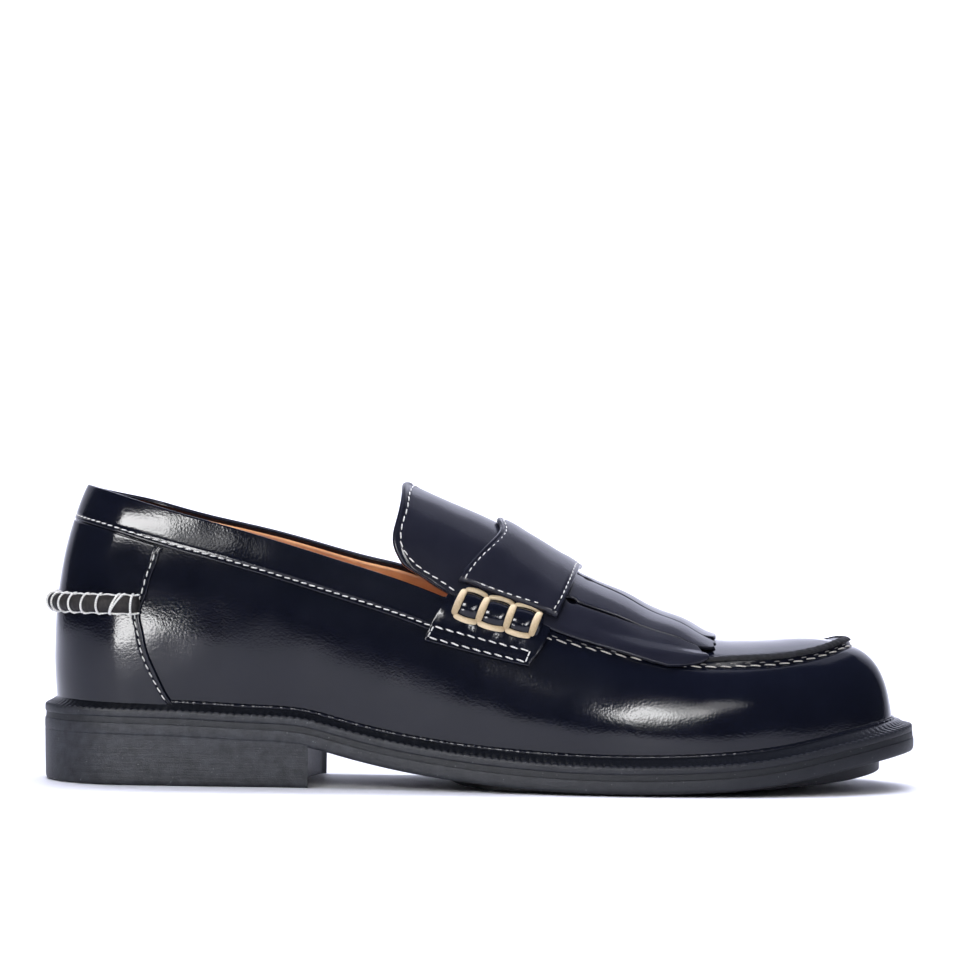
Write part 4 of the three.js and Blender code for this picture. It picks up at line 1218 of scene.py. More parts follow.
@dataclass
class StrapEnd:
    """One side's strap end: the sewn tab, the beef roll on it and the cord that laces it."""

    last: Last
    side: Side
    tab_low: float = 0.3
    tab_high: float = 1.55
    radius: float = 4.6
    rise: float = 3.6
    bars: tuple[tuple[float, float], ...] = (
        (0.487, 0.472), (0.504, 0.4715), (0.524, 0.4785), (0.5435, 0.485),
    )

    @property
    def tag(self) -> str:
        """The side's name, for piece names."""
        return self.side.name.lower()

    def tab(self) -> bpy.types.Object:
        """The tab: a slanting plate sewn down round its foot, swollen just under the roll.

        Returns:
            The object.
        """
        t = 0.318 + (0.560 - 0.318) * crowded(60, 0.85)[None]
        left = Spline(
            [0.318, 0.383, 0.417, 0.483, 0.547, 0.56], [0.4680, 0.4715, 0.4735, 0.4775, 0.4805, 0.4810]
        )(t)
        right = Spline(
            [0.318, 0.345, 0.383, 0.43, 0.50, 0.56], [0.5440, 0.5465, 0.5505, 0.5535, 0.5555, 0.5560]
        )(t)
        a = crowded(80, 0.85)[:, None]
        u = left + (right - left) * a
        t = np.broadcast_to(t, u.shape)
        if self.side is Side.MEDIAL:
            u, t = u[:, ::-1], t[:, ::-1]
        w = self.side.value * (1 - t)
        base = self.last.point(u, w)
        lumps = 0.80 + 0.20 * np.cos(2 * np.pi * (u - 0.4955) / 0.019)
        swell = 0.62 * lumps * bump(t, 0.416, 0.028) * smooth(np.minimum(u - 0.472, 0.553 - u), 0.0, 0.012)
        press = swell - 0.22 * bump(t, 0.369, 0.008) - 0.22 * bump(t, 0.331, 0.008)
        press = press + 0.05 * leather_waves(base * 2)
        return leather_sheet(
            f"tab_leather_{self.tag}", self.last, u, w, self.tab_low, self.tab_high, 0.6, press
        )

    def axis(self, n: int) -> tuple[Array, Array, Array, Array]:
        """The roll's centre line with its outward, across and along directions."""
        places = np.asarray(self.bars)
        ahead = (places[1] - places[0]) * 0.30
        back = (places[-1] - places[-2]) * 0.30
        ends = np.concatenate([[places[0] - ahead], places, [places[-1] + back]])
        along = np.concatenate([[0], np.cumsum(np.hypot(*np.diff(ends, axis=0).T))])
        s = np.linspace(0, along[-1], n)
        u, t = Spline(along, ends[:, 0])(s), Spline(along, ends[:, 1])(s)
        w = self.side.value * (1 - t)
        out = self.last.normal(u, w)
        path = self.last.point(u, w) + 0.3 * out
        forward = unit(np.gradient(path, axis=0))
        out = unit(out - forward * np.sum(out * forward, -1, keepdims=True))
        return path, out, np.cross(forward, out), forward

    def waists(self, path: Array) -> Array:
        """Run of the roll at which its cord draws it in."""
        run = arc(path)
        found = []
        for u, t in self.bars:
            spot = self.last.point(u, self.side.value * (1 - t))
            found.append(run[np.argmin(np.linalg.norm(path - spot, axis=-1))])
        return np.asarray(found)

    def roll(self) -> bpy.types.Object:
        """The roll: an ellipse that swells between the cord's turns and rounds off at its ends."""
        path, out, _, _ = self.axis(150)
        run = arc(path)
        waist = sum(bump(run, place, 1.6) for place in self.waists(path))
        swell = 1 - 0.17 * waist
        return strand(
            f"beef_roll_leather_{self.tag}", path, out, self.radius * swell, self.rise * swell, 30, 1.6
        )

    def cord(self) -> bpy.types.Object:
        """The lacing cord: four turns over the roll and the links between them, top and foot.

        Returns:
            The object.
        """
        path, out, across, forward = self.axis(150)
        run = arc(path)
        sets, ends = [], []
        # Across points down the side of the shoe on the lateral side and up on the other.
        sign = -1.0 if across[75, 2] > 0 else 1.0
        for place in self.waists(path):
            spot, o, c, f = (
                v[0] for v in resample(path, [out, across, forward], np.array([place]))
            )
            c = c * sign
            angle = np.linspace(math.radians(16), math.radians(164), 30)
            wire = (
                spot
                + c * (-(self.radius * 0.90 + 0.35) * np.cos(angle))[:, None]
                + o * ((self.rise * 0.86 + 0.45) * np.sin(angle))[:, None]
                + f * (0.35 * np.cos(angle))[:, None]
            )
            face = unit(c * (-np.cos(angle))[:, None] * 0.7 + o * np.sin(angle)[:, None])
            belly = 1.12 * (0.72 + 0.28 * np.sin(angle))
            sets.append(strand_arrays(wire, face, belly, 0.52, 12, 1.2))
            ends.append((wire[0], wire[-1], c, o))
        for k in range(3):
            for foot, thick, bow in ((0, 0.80, -1.0), (1, 0.95, 1.0)):
                start, stop = ends[k][foot], ends[k + 1][foot]
                c, o = unit(ends[k][2] + ends[k + 1][2]), unit(ends[k][3] + ends[k + 1][3])
                s = np.linspace(0, 1, 24)[:, None]
                bend = np.sin(np.pi * s) ** 0.8
                wire = start + (stop - start) * s + c * bow * 0.75 * bend + o * (0.35 * bend + 0.45)
                sets.append(strand_arrays(wire, np.broadcast_to(o, wire.shape), thick, 0.46, 10, 1.3))
        return joined(f"beef_roll_cord_{self.tag}", sets)

    def threads(self) -> list[bpy.types.Object]:
        """The box of stitches round the tab's foot and the row along the strap's foot.

        Returns:
            The objects.
        """
        box = [
            [(0.4735, 0.369), (0.509, 0.371), (0.5435, 0.374)],
            [(0.4705, 0.331), (0.506, 0.331), (0.5415, 0.331)],
            [(0.4735, 0.369), (0.4705, 0.331)],
            [(0.5435, 0.374), (0.5415, 0.331)],
        ]
        thread = Thread(3.3, 2.7, 0.48, 0.40, lean=7)
        made = []
        for k, knots in enumerate(box):
            path, out = seam_line(self.last, knots, self.side, self.tab_high - 0.1)
            sewn = thread if k < 2 else Thread(2.2, 1.8, 0.45, 0.38)
            made.append(stitch_row(f"tab_thread_{self.tag}_{k + 1}", path, out, sewn))
        knots = [(0.489, 0.5535), (0.508, 0.552), (0.528, 0.556), (0.5505, 0.563)]
        path, out = seam_line(self.last, knots, self.side, 3.72)
        made.append(stitch_row(f"strap_foot_thread_{self.tag}", path, out, Thread(2.9, 2.1, 0.40, 0.34)))
        return made


@dataclass
class Sole:
    """Welt, midsole, outsole, forefoot tread, heel and insole."""

    last: Last
    stations: int = 260
    ridge_pitch: float = 2.3

    def ring(self, rim: Rim, inset: float, z: Callable[[Array], Array], n: int) -> Array:
        """A closed level curve of an outline: out along the lateral side and back along the
        medial one, at the heights that z gives."""
        s = np.linspace(0, 1, n)
        parts = []
        for sign, order in ((-1.0, slice(None)), (1.0, slice(None, None, -1))):
            x, y = self.last.plan(rim, s, sign, inset)
            parts.append(np.stack([x, y, z(x)], -1)[order])
        return np.concatenate([parts[0], parts[1][1:-1]])

    def plate(self, name: str, rim: Rim, levels: Sequence[tuple[float, Callable[[Array], Array]]],
              n: int, sharp: float = 40.0) -> bpy.types.Object:
        """A closed plate from level curves, joined one to the next and capped across the shoe.

        Args:
            name: the piece's name.
            rim: its outline.
            levels: pairs of inset and height function, from the underside up.
            n: stations along each side.
            sharp: angle past which an edge stays sharp.

        Returns:
            The object.
        """
        rings = np.stack([self.ring(rim, inset, z, n) for inset, z in levels])
        count, around = rings.shape[:2]
        faces = [grid_faces(count, around, loop=True)[:, ::-1]]
        i = np.arange(n - 1)
        medial = (around - i) % around
        after = np.where(i + 1 == n - 1, n - 1, around - i - 1)
        cap = np.stack([i, i + 1, after, medial], -1)
        faces += [cap[:, ::-1], cap + (count - 1) * around]
        uv = np.stack([np.broadcast_to(arc(rings, 1), rings.shape[:2]), rings[..., 2]], -1)
        quads = tidy_quads(np.concatenate(faces))
        return new_object(name, rings.reshape(-1, 3), quads, uv.reshape(-1, 2), sharp)

    def welt(self) -> bpy.types.Object:
        """The storm welt: a low wall, a rounded edge, and a slope that climbs to the upper and is
        notched across by fine ridges. Each ring's inset is a length plus a share of the room
        between the sole's edge and the upper.

        Returns:
            The object.
        """
        last, n = self.last, 1200
        s = np.linspace(0, 1, 4000)
        length = arc(np.stack([*last.plan(SOLE_RIM, s, -1.0)], -1))
        run = np.linspace(0, length[-1], n)
        even = np.interp(run, length, s)
        share = last.plan(SOLE_RIM, even, -1.0)[0] / last.sole_length
        room = UPPER_RIM.reach * last.margin(share) + 1.1 * bump(even, 0, 0.12)
        draw = 0.05 + 0.45 * smooth(even, 0.84, 1.0)
        drop = 0.35 * smooth(even, 0.45, 0.75)
        cut = np.clip((0.5 - 0.5 * np.cos(2 * np.pi * run / self.ridge_pitch)) * 1.6 - 0.6, 0, 1)
        levels = [
            (0.40, 0.0, -3.60, 0.0), (0.08, 0.0, -3.40, 0.0), (0.0, 0.0, -3.0, 0.0), (0.0, 0.0, -1.9, 0.1),
            (0.05, 0.0, -1.35, 0.5), (0.25, 0.02, -0.95, 1.0), (0.30, 0.14, -0.62, 1.0),
            (0.30, 0.30, -0.25, 1.0),
            (0.20, 0.48, 0.22, 0.8), (0.10, 0.66, 0.75, 0.3), (0.0, 0.82, 1.20, 0.0), (0.0, 0.95, 1.40, 0.0),
            (0.0, 1.12, 1.20, 0.0), (10.0, 0.0, -0.35, 0.0),
        ]
        rings = []
        for inset, part, rise, notch in levels:
            sides = []
            for sign, order in ((-1.0, slice(None)), (1.0, slice(None, None, -1))):
                x, y = last.plan(SOLE_RIM, even, sign, inset + draw + part * (room - draw))
                low = drop * (rise < 0.5) * (rise > -2)
                sides.append(np.stack([x, y, last.welt_top(x) + rise - low - 0.34 * notch * cut], -1)[order])
            rings.append(np.concatenate([sides[0], sides[1][1:-1]]))
        rings = np.stack(rings)
        count, around = rings.shape[:2]
        faces = [grid_faces(count, around, loop=True)[:, ::-1]]
        under = rings[-1].copy()
        under[:, 2] = rings[0, :, 2]
        low = np.arange(around)
        nxt = (low + 1) % around
        inner = count * around
        faces.append(np.stack([low, nxt, inner + nxt, inner + low], -1)[:, ::-1])
        high = (count - 1) * around
        faces.append(np.stack([high + low, high + nxt, inner + nxt, inner + low], -1))
        level = np.broadcast_to((np.arange(count) / (count - 1))[:, None], (count, around))
        uv = np.stack([np.broadcast_to(arc(rings, 1), rings.shape[:2]), level], -1).reshape(-1, 2)
        uv = np.concatenate([uv, uv[:around]])
        points = np.concatenate([rings.reshape(-1, 3), under])
        return new_object("welt_strip", points, np.concatenate(faces), uv, 50)

    def bead(self) -> bpy.types.Object:
        """The glossy bead that closes the joint between upper and welt, level with the lip.

        Returns:
            The object.
        """
        last = self.last
        u = np.linspace(0, 1, 500)
        parts = []
        for side, order in ((Side.LATERAL, slice(None)), (Side.MEDIAL, slice(None, None, -1))):
            t = last.height_at(u, side, lambda x: last.welt_top(x) + 1.45)
            parts.append(last.skin(u, side.value * (1 - t), 0.30)[order])
        closed = np.concatenate([parts[0], parts[1][1:]])
        places = np.linspace(0, arc(closed)[-1], 1400)
        path, = resample(closed, [], places)
        wobble = 0.06 * np.sin(places * 2.1) + 0.05 * np.sin(places * 3.7 + 1.1)
        up = np.tile([0.0, 0.0, 1.0], (len(path), 1))
        return strand("welt_bead", path, up, 0.50 + wobble, 0.55 + wobble, 9)

    def midsole(self) -> bpy.types.Object:
        """The midsole, a little in from the welt."""
        last = self.last
        top = last.midsole_top
        return self.plate("midsole_layer", SOLE_RIM, [
            (0.65, lambda x: top(x) - 2.70), (0.40, lambda x: top(x) - 2.50), (0.34, lambda x: top(x) - 1.5),
            (0.40, lambda x: top(x) - 0.30), (0.65, lambda x: top(x) - 0.05),
        ], self.stations)

    def outsole(self) -> bpy.types.Object:
        """The outsole, its lower edge rounded.

        Returns:
            The object.
        """
        last = self.last
        top, floor = last.outsole_top, last.outsole_floor
        return self.plate("outsole_layer", SOLE_RIM, [
            (1.1, floor), (0.55, lambda x: floor(x) + 0.12), (0.2, lambda x: floor(x) + 0.5),
            (0.03, lambda x: floor(x) + 1.2), (0.0, lambda x: floor(x) + 3.0),
            (0.08, lambda x: top(x) + 0.45),
            (0.35, lambda x: top(x) + 0.6),
        ], self.stations)

    def tread(self) -> bpy.types.Object:
        """The forefoot tread under the outsole.

        Returns:
            The object.
        """
        last = self.last
        places = [0.470, 0.520, 0.740, 0.800, 0.865, 0.905, 0.935, 0.962]
        lift = Spline(places, [0.067, 0, 0, 0, 0, 0, 0, 0])
        spring = Spline(places, [0, 0, 0, 0.078, 0.198, 0.276, 0.371, 0.500])

        def under(x: Array) -> Array:
            """Height of the tread's underside."""
            s = x / last.sole_length
            return np.maximum(0, last.heel_height * lift(s) + last.toe_spring * spring(s))

        return self.plate("tread_layer", TREAD_RIM, [
            (0.6, under), (0.15, lambda x: under(x) + 0.2), (0.0, lambda x: under(x) + 0.6),
            (0.0, lambda x: np.maximum(last.outsole_floor(x) + 0.4, under(x) + 0.9)),
        ], 140)

    def heel(self) -> bpy.types.Object:
        """The heel block: the sole's outline up to the breast, which is hollowed by a parabola.

        Returns:
            The object.
        """
        last = self.last
        breast = 0.3165 * last.sole_length
        levels = [
            (1.9, 0.0), (1.2, 0.04), (0.8, 0.14), (0.55, 0.4), (0.40, 0.8), (0.25, 1.0), (0.10, 0.15),
            (0.05, -0.90),
            (0.4, -1.10),
        ]
        rings = []
        for k, (inset, up) in enumerate(levels):
            s = np.linspace(0, 1, 400)
            x = last.plan(SOLE_RIM, s, -1.0, inset)[0]
            s = np.linspace(0, np.interp(breast, x, s), 130)
            parts = []
            for sign, order in ((-1.0, slice(None)), (1.0, slice(None, None, -1))):
                x, y = last.plan(SOLE_RIM, s, sign, inset)
                parts.append(np.stack([x, y], -1)[order])
            v = np.linspace(-1, 1, 42)[1:-1]
            y0, y1 = parts[0][-1, 1], parts[1][0, 1]
            middle, reach = (-0.33 + 0.30) / 2 * last.ball_width, 0.315 * last.ball_width
            yy = (y0 + y1) / 2 + v * (y1 - y0) / 2
            share = np.clip(np.abs(yy - middle) / reach, 0, 1)
            front = np.stack([breast - 5.0 * (1 - share**2), yy], -1)
            loop = np.concatenate([parts[0], front, parts[1][:-1]])
            ceiling = last.outsole_floor(loop[:, 0]) - last.gap
            if k < 5:
                z = up * 2.4 + 0 * ceiling
            elif k == 5:
                z = ceiling * 0.5
            else:
                z = ceiling - up
            rings.append(np.concatenate([loop, z[:, None]], 1))
        rings = np.stack(rings)
        count, around = rings.shape[:2]
        faces = [grid_faces(count, around, loop=True)[:, ::-1]]
        middle_low = rings[0].mean(0)
        middle_high = rings[-1].mean(0)
        i = np.arange(around)
        nxt = (i + 1) % around
        low = np.full(around, count * around)
        faces.append(np.stack([nxt, i, low, low], -1))
        top = (count - 1) * around
        faces.append(np.stack([top + i, top + nxt, low + 1, low + 1], -1))
        points = np.concatenate([rings.reshape(-1, 3), middle_low[None], middle_high[None]])
        return new_object("heel_layer", points, tidy_quads(np.concatenate(faces)), None, 40)

    def insole(self) -> bpy.types.Object:
        """The insole, with a soft edge and a shallow cup under the heel.

        Returns:
            The object.
        """
        last = self.last
        edge = 2.9

        def top(depth: float) -> Callable[[Array], Array]:
            """Height of the insole's face, lower by depth."""
            return lambda x: last.welt_top(x) + 2.2 - depth

        return self.plate("insole_leather", UPPER_RIM, [
            (edge, lambda x: last.midsole_top(x) + 0.4), (edge, top(0.9)), (edge + 0.25, top(0.35)),
            (edge + 0.8, top(0.06)), (edge + 2.0, top(0.0)), (edge + 7.0, top(0.15)), (edge + 13.0, top(0.3)),
        ], 160)


class Wire:
    """One socket of a material's nodes, with arithmetic on numbers."""

    def __init__(self, tree: bpy.types.NodeTree, socket: bpy.types.NodeSocket) -> None:
        """Keeps the socket and the tree that it is in."""
        self.tree = tree
        self.socket = socket

    def maths(self, operation: str, *values: "Wire | float") -> "Wire":
        """A Math node over values.

        Args:
            operation: the node's operation.
            values: numbers or sockets, in order.

        Returns:
            Its result.
        """
        node = self.tree.nodes.new("ShaderNodeMath")
        node.operation = operation
        for socket, value in zip(node.inputs, values):
            if isinstance(value, Wire):
                self.tree.links.new(value.socket, socket)
            else:
                socket.default_value = float(value)
        return Wire(self.tree, node.outputs[0])

    def __add__(self, other: "Wire | float") -> "Wire":
        """Sum."""
        return self.maths("ADD", self, other)

    def __radd__(self, other: float) -> "Wire":
        """Sum, reflected."""
        return self.maths("ADD", other, self)

    def __sub__(self, other: "Wire | float") -> "Wire":
        """Difference."""
        return self.maths("SUBTRACT", self, other)

    def __rsub__(self, other: float) -> "Wire":
        """Difference, reflected."""
        return self.maths("SUBTRACT", other, self)

    def __mul__(self, other: "Wire | float") -> "Wire":
        """Product."""
        return self.maths("MULTIPLY", self, other)

    def __rmul__(self, other: float) -> "Wire":
        """Product, reflected."""
        return self.maths("MULTIPLY", other, self)

    def __pow__(self, other: float) -> "Wire":
        """Power."""
        return self.maths("POWER", self, other)

    def sine(self) -> "Wire":
        """Sine."""
        return self.maths("SINE", self)

    def between(self, low: float, high: float) -> "Wire":
        """0 under low, 1 over high, straight between."""
        node = self.tree.nodes.new("ShaderNodeMapRange")
        self.tree.links.new(self.socket, node.inputs["Value"])
        node.inputs["From Min"].default_value = low
        node.inputs["From Max"].default_value = high
        return Wire(self.tree, node.outputs["Result"])


class Surface:
    """A material under construction: a Principled shader and the nodes that feed it."""

    def __init__(self, name: str) -> None:
        """Starts the material with its shader and output."""
        self.material = bpy.data.materials.new(name)
        self.material.use_nodes = True
        self.tree = self.material.node_tree
        self.tree.nodes.clear()
        self.shader = self.tree.nodes.new("ShaderNodeBsdfPrincipled")
        output = self.tree.nodes.new("ShaderNodeOutputMaterial")
        self.tree.links.new(self.shader.outputs["BSDF"], output.inputs["Surface"])

    def node(self, kind: str, output: str, settings: Optional[dict] = None, **values: object) -> Wire:
        """Any other node.

        Args:
            kind: the node's type.
            output: name of the output that is used.
            settings: attributes of the node, set first.
            values: its inputs by name, with _ for a space; numbers, colours or sockets.

        Returns:
            The named output.
        """
        node = self.tree.nodes.new(kind)
        for key, value in (settings or {}).items():
            setattr(node, key, value)
        for key, value in values.items():
            name = key.replace("_", " ")
            socket = next(s for s in node.inputs if s.name == name and s.enabled)
            if isinstance(value, Wire):
                self.tree.links.new(value.socket, socket)
            else:
                socket.default_value = value
        return Wire(self.tree, next(s for s in node.outputs if s.name == output and s.enabled))

    def place(self, scale: tuple[float, float, float] = (1, 1, 1)) -> Wire:
        """Object coordinates in metres, stretched by scale."""
        where = self.node("ShaderNodeTexCoord", "Object")
        return self.node("ShaderNodeMapping", "Vector", Vector=where, Scale=scale)

    def pattern(self, scale: tuple[float, float, float] = (1, 1, 1)) -> Wire:
        """The piece's own pattern coordinates, in millimetres along it."""
        where = self.node("ShaderNodeUVMap", "UV", {"uv_map": "pattern"})
        return self.node("ShaderNodeMapping", "Vector", Vector=where, Scale=scale)

    def axis(self, vector: Wire, name: str) -> Wire:
        """One coordinate of a vector."""
        return self.node("ShaderNodeSeparateXYZ", name, Vector=vector)

    def noise(self, vector: Wire, scale: float, detail: float = 2.0, rough: float = 0.5) -> Wire:
        """Cloudy noise from 0 to 1."""
        return self.node(
            "ShaderNodeTexNoise", "Fac", Vector=vector, Scale=scale, Detail=detail, Roughness=rough
        )

    def cells(self, vector: Wire, scale: float) -> Wire:
        """Distance from the nearest of scattered points, which makes pebbles."""
        return self.node(
            "ShaderNodeTexVoronoi", "Distance", {"feature": "SMOOTH_F1"}, Vector=vector, Scale=scale
        )

    def blend(self, share: "Wire | float", first: tuple, second: tuple) -> Wire:
        """A colour between two."""
        return self.node("ShaderNodeMix", "Result", {"data_type": "RGBA"}, Factor=share, A=first, B=second)

    def relief(self, height: Wire, depth: float, strength: float = 1.0, under: Optional[Wire] = None) -> Wire:
        """A bump of the given depth in metres, over another one if there is one."""
        values = {"Height": height, "Distance": depth, "Strength": strength}
        if under is not None:
            values["Normal"] = under
        return self.node("ShaderNodeBump", "Normal", **values)

    def set(self, **values: object) -> None:
        """Sets or links inputs of the shader, with _ for a space."""
        for key, value in values.items():
            socket = self.shader.inputs[key.replace("_", " ")]
            if isinstance(value, Wire):
                self.tree.links.new(value.socket, socket)
            else:
                socket.default_value = value


@dataclass(frozen=True)
class PolishedLeather:
    """Black calf with a navy tint, waxed to a high gloss over a fine grain."""

    name: str
    colour: tuple[float, float, float, float] = (0.0038, 0.0048, 0.0100, 1)
    worn: tuple[float, float, float, float] = (0.0050, 0.0062, 0.0125, 1)
    roughness: float = 0.08
    grain: float = 0.00003

    def build(self) -> bpy.types.Material:
        """Grain of small pebbles under a slow waviness.

        Returns:
            The material.
        """
        s = Surface(self.name)
        where = s.place()
        pebbles = s.cells(where, 1500)
        fine = s.noise(where, 2600, 2)
        slow = s.noise(where, 38, 2)
        patches = s.noise(where, 120, 3)
        height = pebbles * 0.7 + fine * 0.5
        waves = s.relief(slow, 0.00004, 0.4)
        s.set(
            Base_Color=s.blend(patches.between(0.35, 0.75), self.colour, self.worn),
            Roughness=self.roughness + 0.05 * patches.between(0.3, 0.8) + 0.03 * fine,
            Normal=s.relief(height, self.grain, 1.0, waves),
            IOR=1.40,
        )
        return s.material


@dataclass(frozen=True)
class RoughLeather:
    """Dark brown-black leather, rubbed rough on the rolled edge."""

    name: str
    colour: tuple[float, float, float, float] = (0.0040, 0.0034, 0.0036, 1)
    rubbed: tuple[float, float, float, float] = (0.020, 0.016, 0.015, 1)

    def build(self) -> bpy.types.Material:
        """Coarse nap with lighter rubbed spots.

        Returns:
            The material.
        """
        s = Surface(self.name)
        where = s.place()
        nap = s.noise(where, 900, 4, 0.65)
        patches = s.noise(where, 210, 2)
        s.set(
            Base_Color=s.blend(nap.between(0.35, 0.75), self.colour, self.rubbed),
            Roughness=0.56 + 0.3 * patches,
            Normal=s.relief(nap, 0.00035, 0.9),
            Specular_IOR_Level=0.3,
        )
        return s.material


@dataclass(frozen=True)
class TanLining:
    """Natural tan calf lining, matt and a little uneven in colour."""

    name: str

    def build(self) -> bpy.types.Material:
        """Fine pores and cloudy colour.

        Returns:
            The material.
        """
        s = Surface(self.name)
        where = s.place()
        cloud = s.noise(where, 70, 4)
        pores = s.cells(where, 1700)
        s.set(
            Base_Color=s.blend(cloud.between(0.3, 0.72), (0.50, 0.20, 0.070, 1), (0.70, 0.35, 0.14, 1)),
            Roughness=0.50 + 0.16 * cloud,
            Normal=s.relief(pores, 0.00008, 0.8),
        )
        return s.material


class Edge(Enum):
    """What is pressed into the edge of a rubber piece."""

    PLAIN = "plain"
    STREAKS = "streaks"
    RIDGES = "ridges"


@dataclass(frozen=True)
class SoleRubber:
    """Matt charcoal rubber with light specks and a moulded skin."""

    name: str
    colour: tuple[float, float, float, float] = (0.009, 0.010, 0.0135, 1)
    light: tuple[float, float, float, float] = (0.034, 0.037, 0.046, 1)
    roughness: float = 0.44
    edge: Edge = Edge.PLAIN

    def build(self) -> bpy.types.Material:
        """Cloudy dust and sparse specks, the colour darker towards the toe, with level streaks on a ground
        edge and a black polished slope on a ridged one.

        Returns:
            The material.
        """
        s = Surface(self.name)
        where = s.place()
        dust = s.noise(where, 320, 4, 0.6)
        specks = s.noise(where, 1500, 1).between(0.74, 0.80)
        skin = s.noise(where, 2300, 3, 0.6)
        # Colour darker towards the toe, by the object's x.
        towards_toe = s.axis(where, "X").between(-0.05, 0.06)
        base = s.blend(dust.between(0.30, 0.75) * (1 - 0.8 * towards_toe), self.colour, self.light)
        colour = s.node(
            "ShaderNodeMix", "Result", {"data_type": "RGBA"},
            Factor=specks * 0.5, A=base, B=(0.20, 0.21, 0.23, 1),
        )
        normal = s.relief(skin, 0.00012, 0.8)
        rough = self.roughness + 0.12 * dust
        if self.edge is Edge.STREAKS:
            streaks = s.noise(s.place((45, 45, 1500)), 1.0, 3, 0.7)
            normal = s.relief(streaks, 0.00016, 0.8, normal)
        if self.edge is Edge.RIDGES:
            slope = s.axis(s.pattern(), "Y").between(0.36, 0.44)
            colour = s.node(
                "ShaderNodeMix", "Result", {"data_type": "RGBA"},
                Factor=slope, A=colour, B=(0.006, 0.007, 0.010, 1),
            )
            rough = rough - 0.26 * slope
        s.set(Base_Color=colour, Roughness=rough, Normal=normal, Specular_IOR_Level=0.27)
        return s.material


@dataclass(frozen=True)
class Yarn:
    """Twisted thread or cord. Its pattern runs along each stitch in millimetres."""

    name: str
    colour: tuple[float, float, float, float]
    shade: tuple[float, float, float, float]
    twist: float = 9.0
    depth: float = 0.00012

    def build(self) -> bpy.types.Material:
        """Slanting strands round the yarn, darker between them.

        Returns:
            The material.
        """
        s = Surface(self.name)
        run = s.pattern()
        along, around = s.axis(run, "X"), s.axis(run, "Y")
        strands = (along * self.twist + around * (2 * math.pi)).sine() * 0.5 + 0.5
        fuzz = s.noise(s.place(), 2400, 2)
        s.set(
            Base_Color=s.blend((strands * 0.6 + fuzz * 0.55).between(0.15, 0.85), self.shade, self.colour),
            Roughness=0.72 + 0.1 * fuzz,
            Normal=s.relief(strands * 0.8 + fuzz * 0.4, self.depth, 0.8),
        )
        return s.material


@dataclass(frozen=True)
class Paint:
    """A plain matt studio surface with painted shade in front, outside the picture: dark there to stand for
    the unlit studio that the leather mirrors.
    """

    name: str
    colour: tuple[float, float, float, float]
    # Painted shade: the floor's colour before the shoe, standing for the unlit studio there.
    front: tuple[float, float, float, float] = (0.02, 0.02, 0.024, 1)

    def build(self) -> bpy.types.Material:
        """One colour back from 0.41 m before the shoe and the painted shade colour from 0.6 m on."""
        s = Surface(self.name)
        back = s.axis(s.place(), "Y").between(-0.60, -0.41)
        s.set(
            # The pale colour behind, the painted shade in front.
            Base_Color=s.blend(back, self.front, self.colour),
            Roughness=0.55 + 0.05 * s.noise(s.place(), 6, 2),
        )
        return s.material


class Role(Enum):
    """What a light is for: to light surfaces, to be mirrored in gloss, or both."""

    FILL = "fill"
    MIRROR = "mirror"
    BOTH = "both"


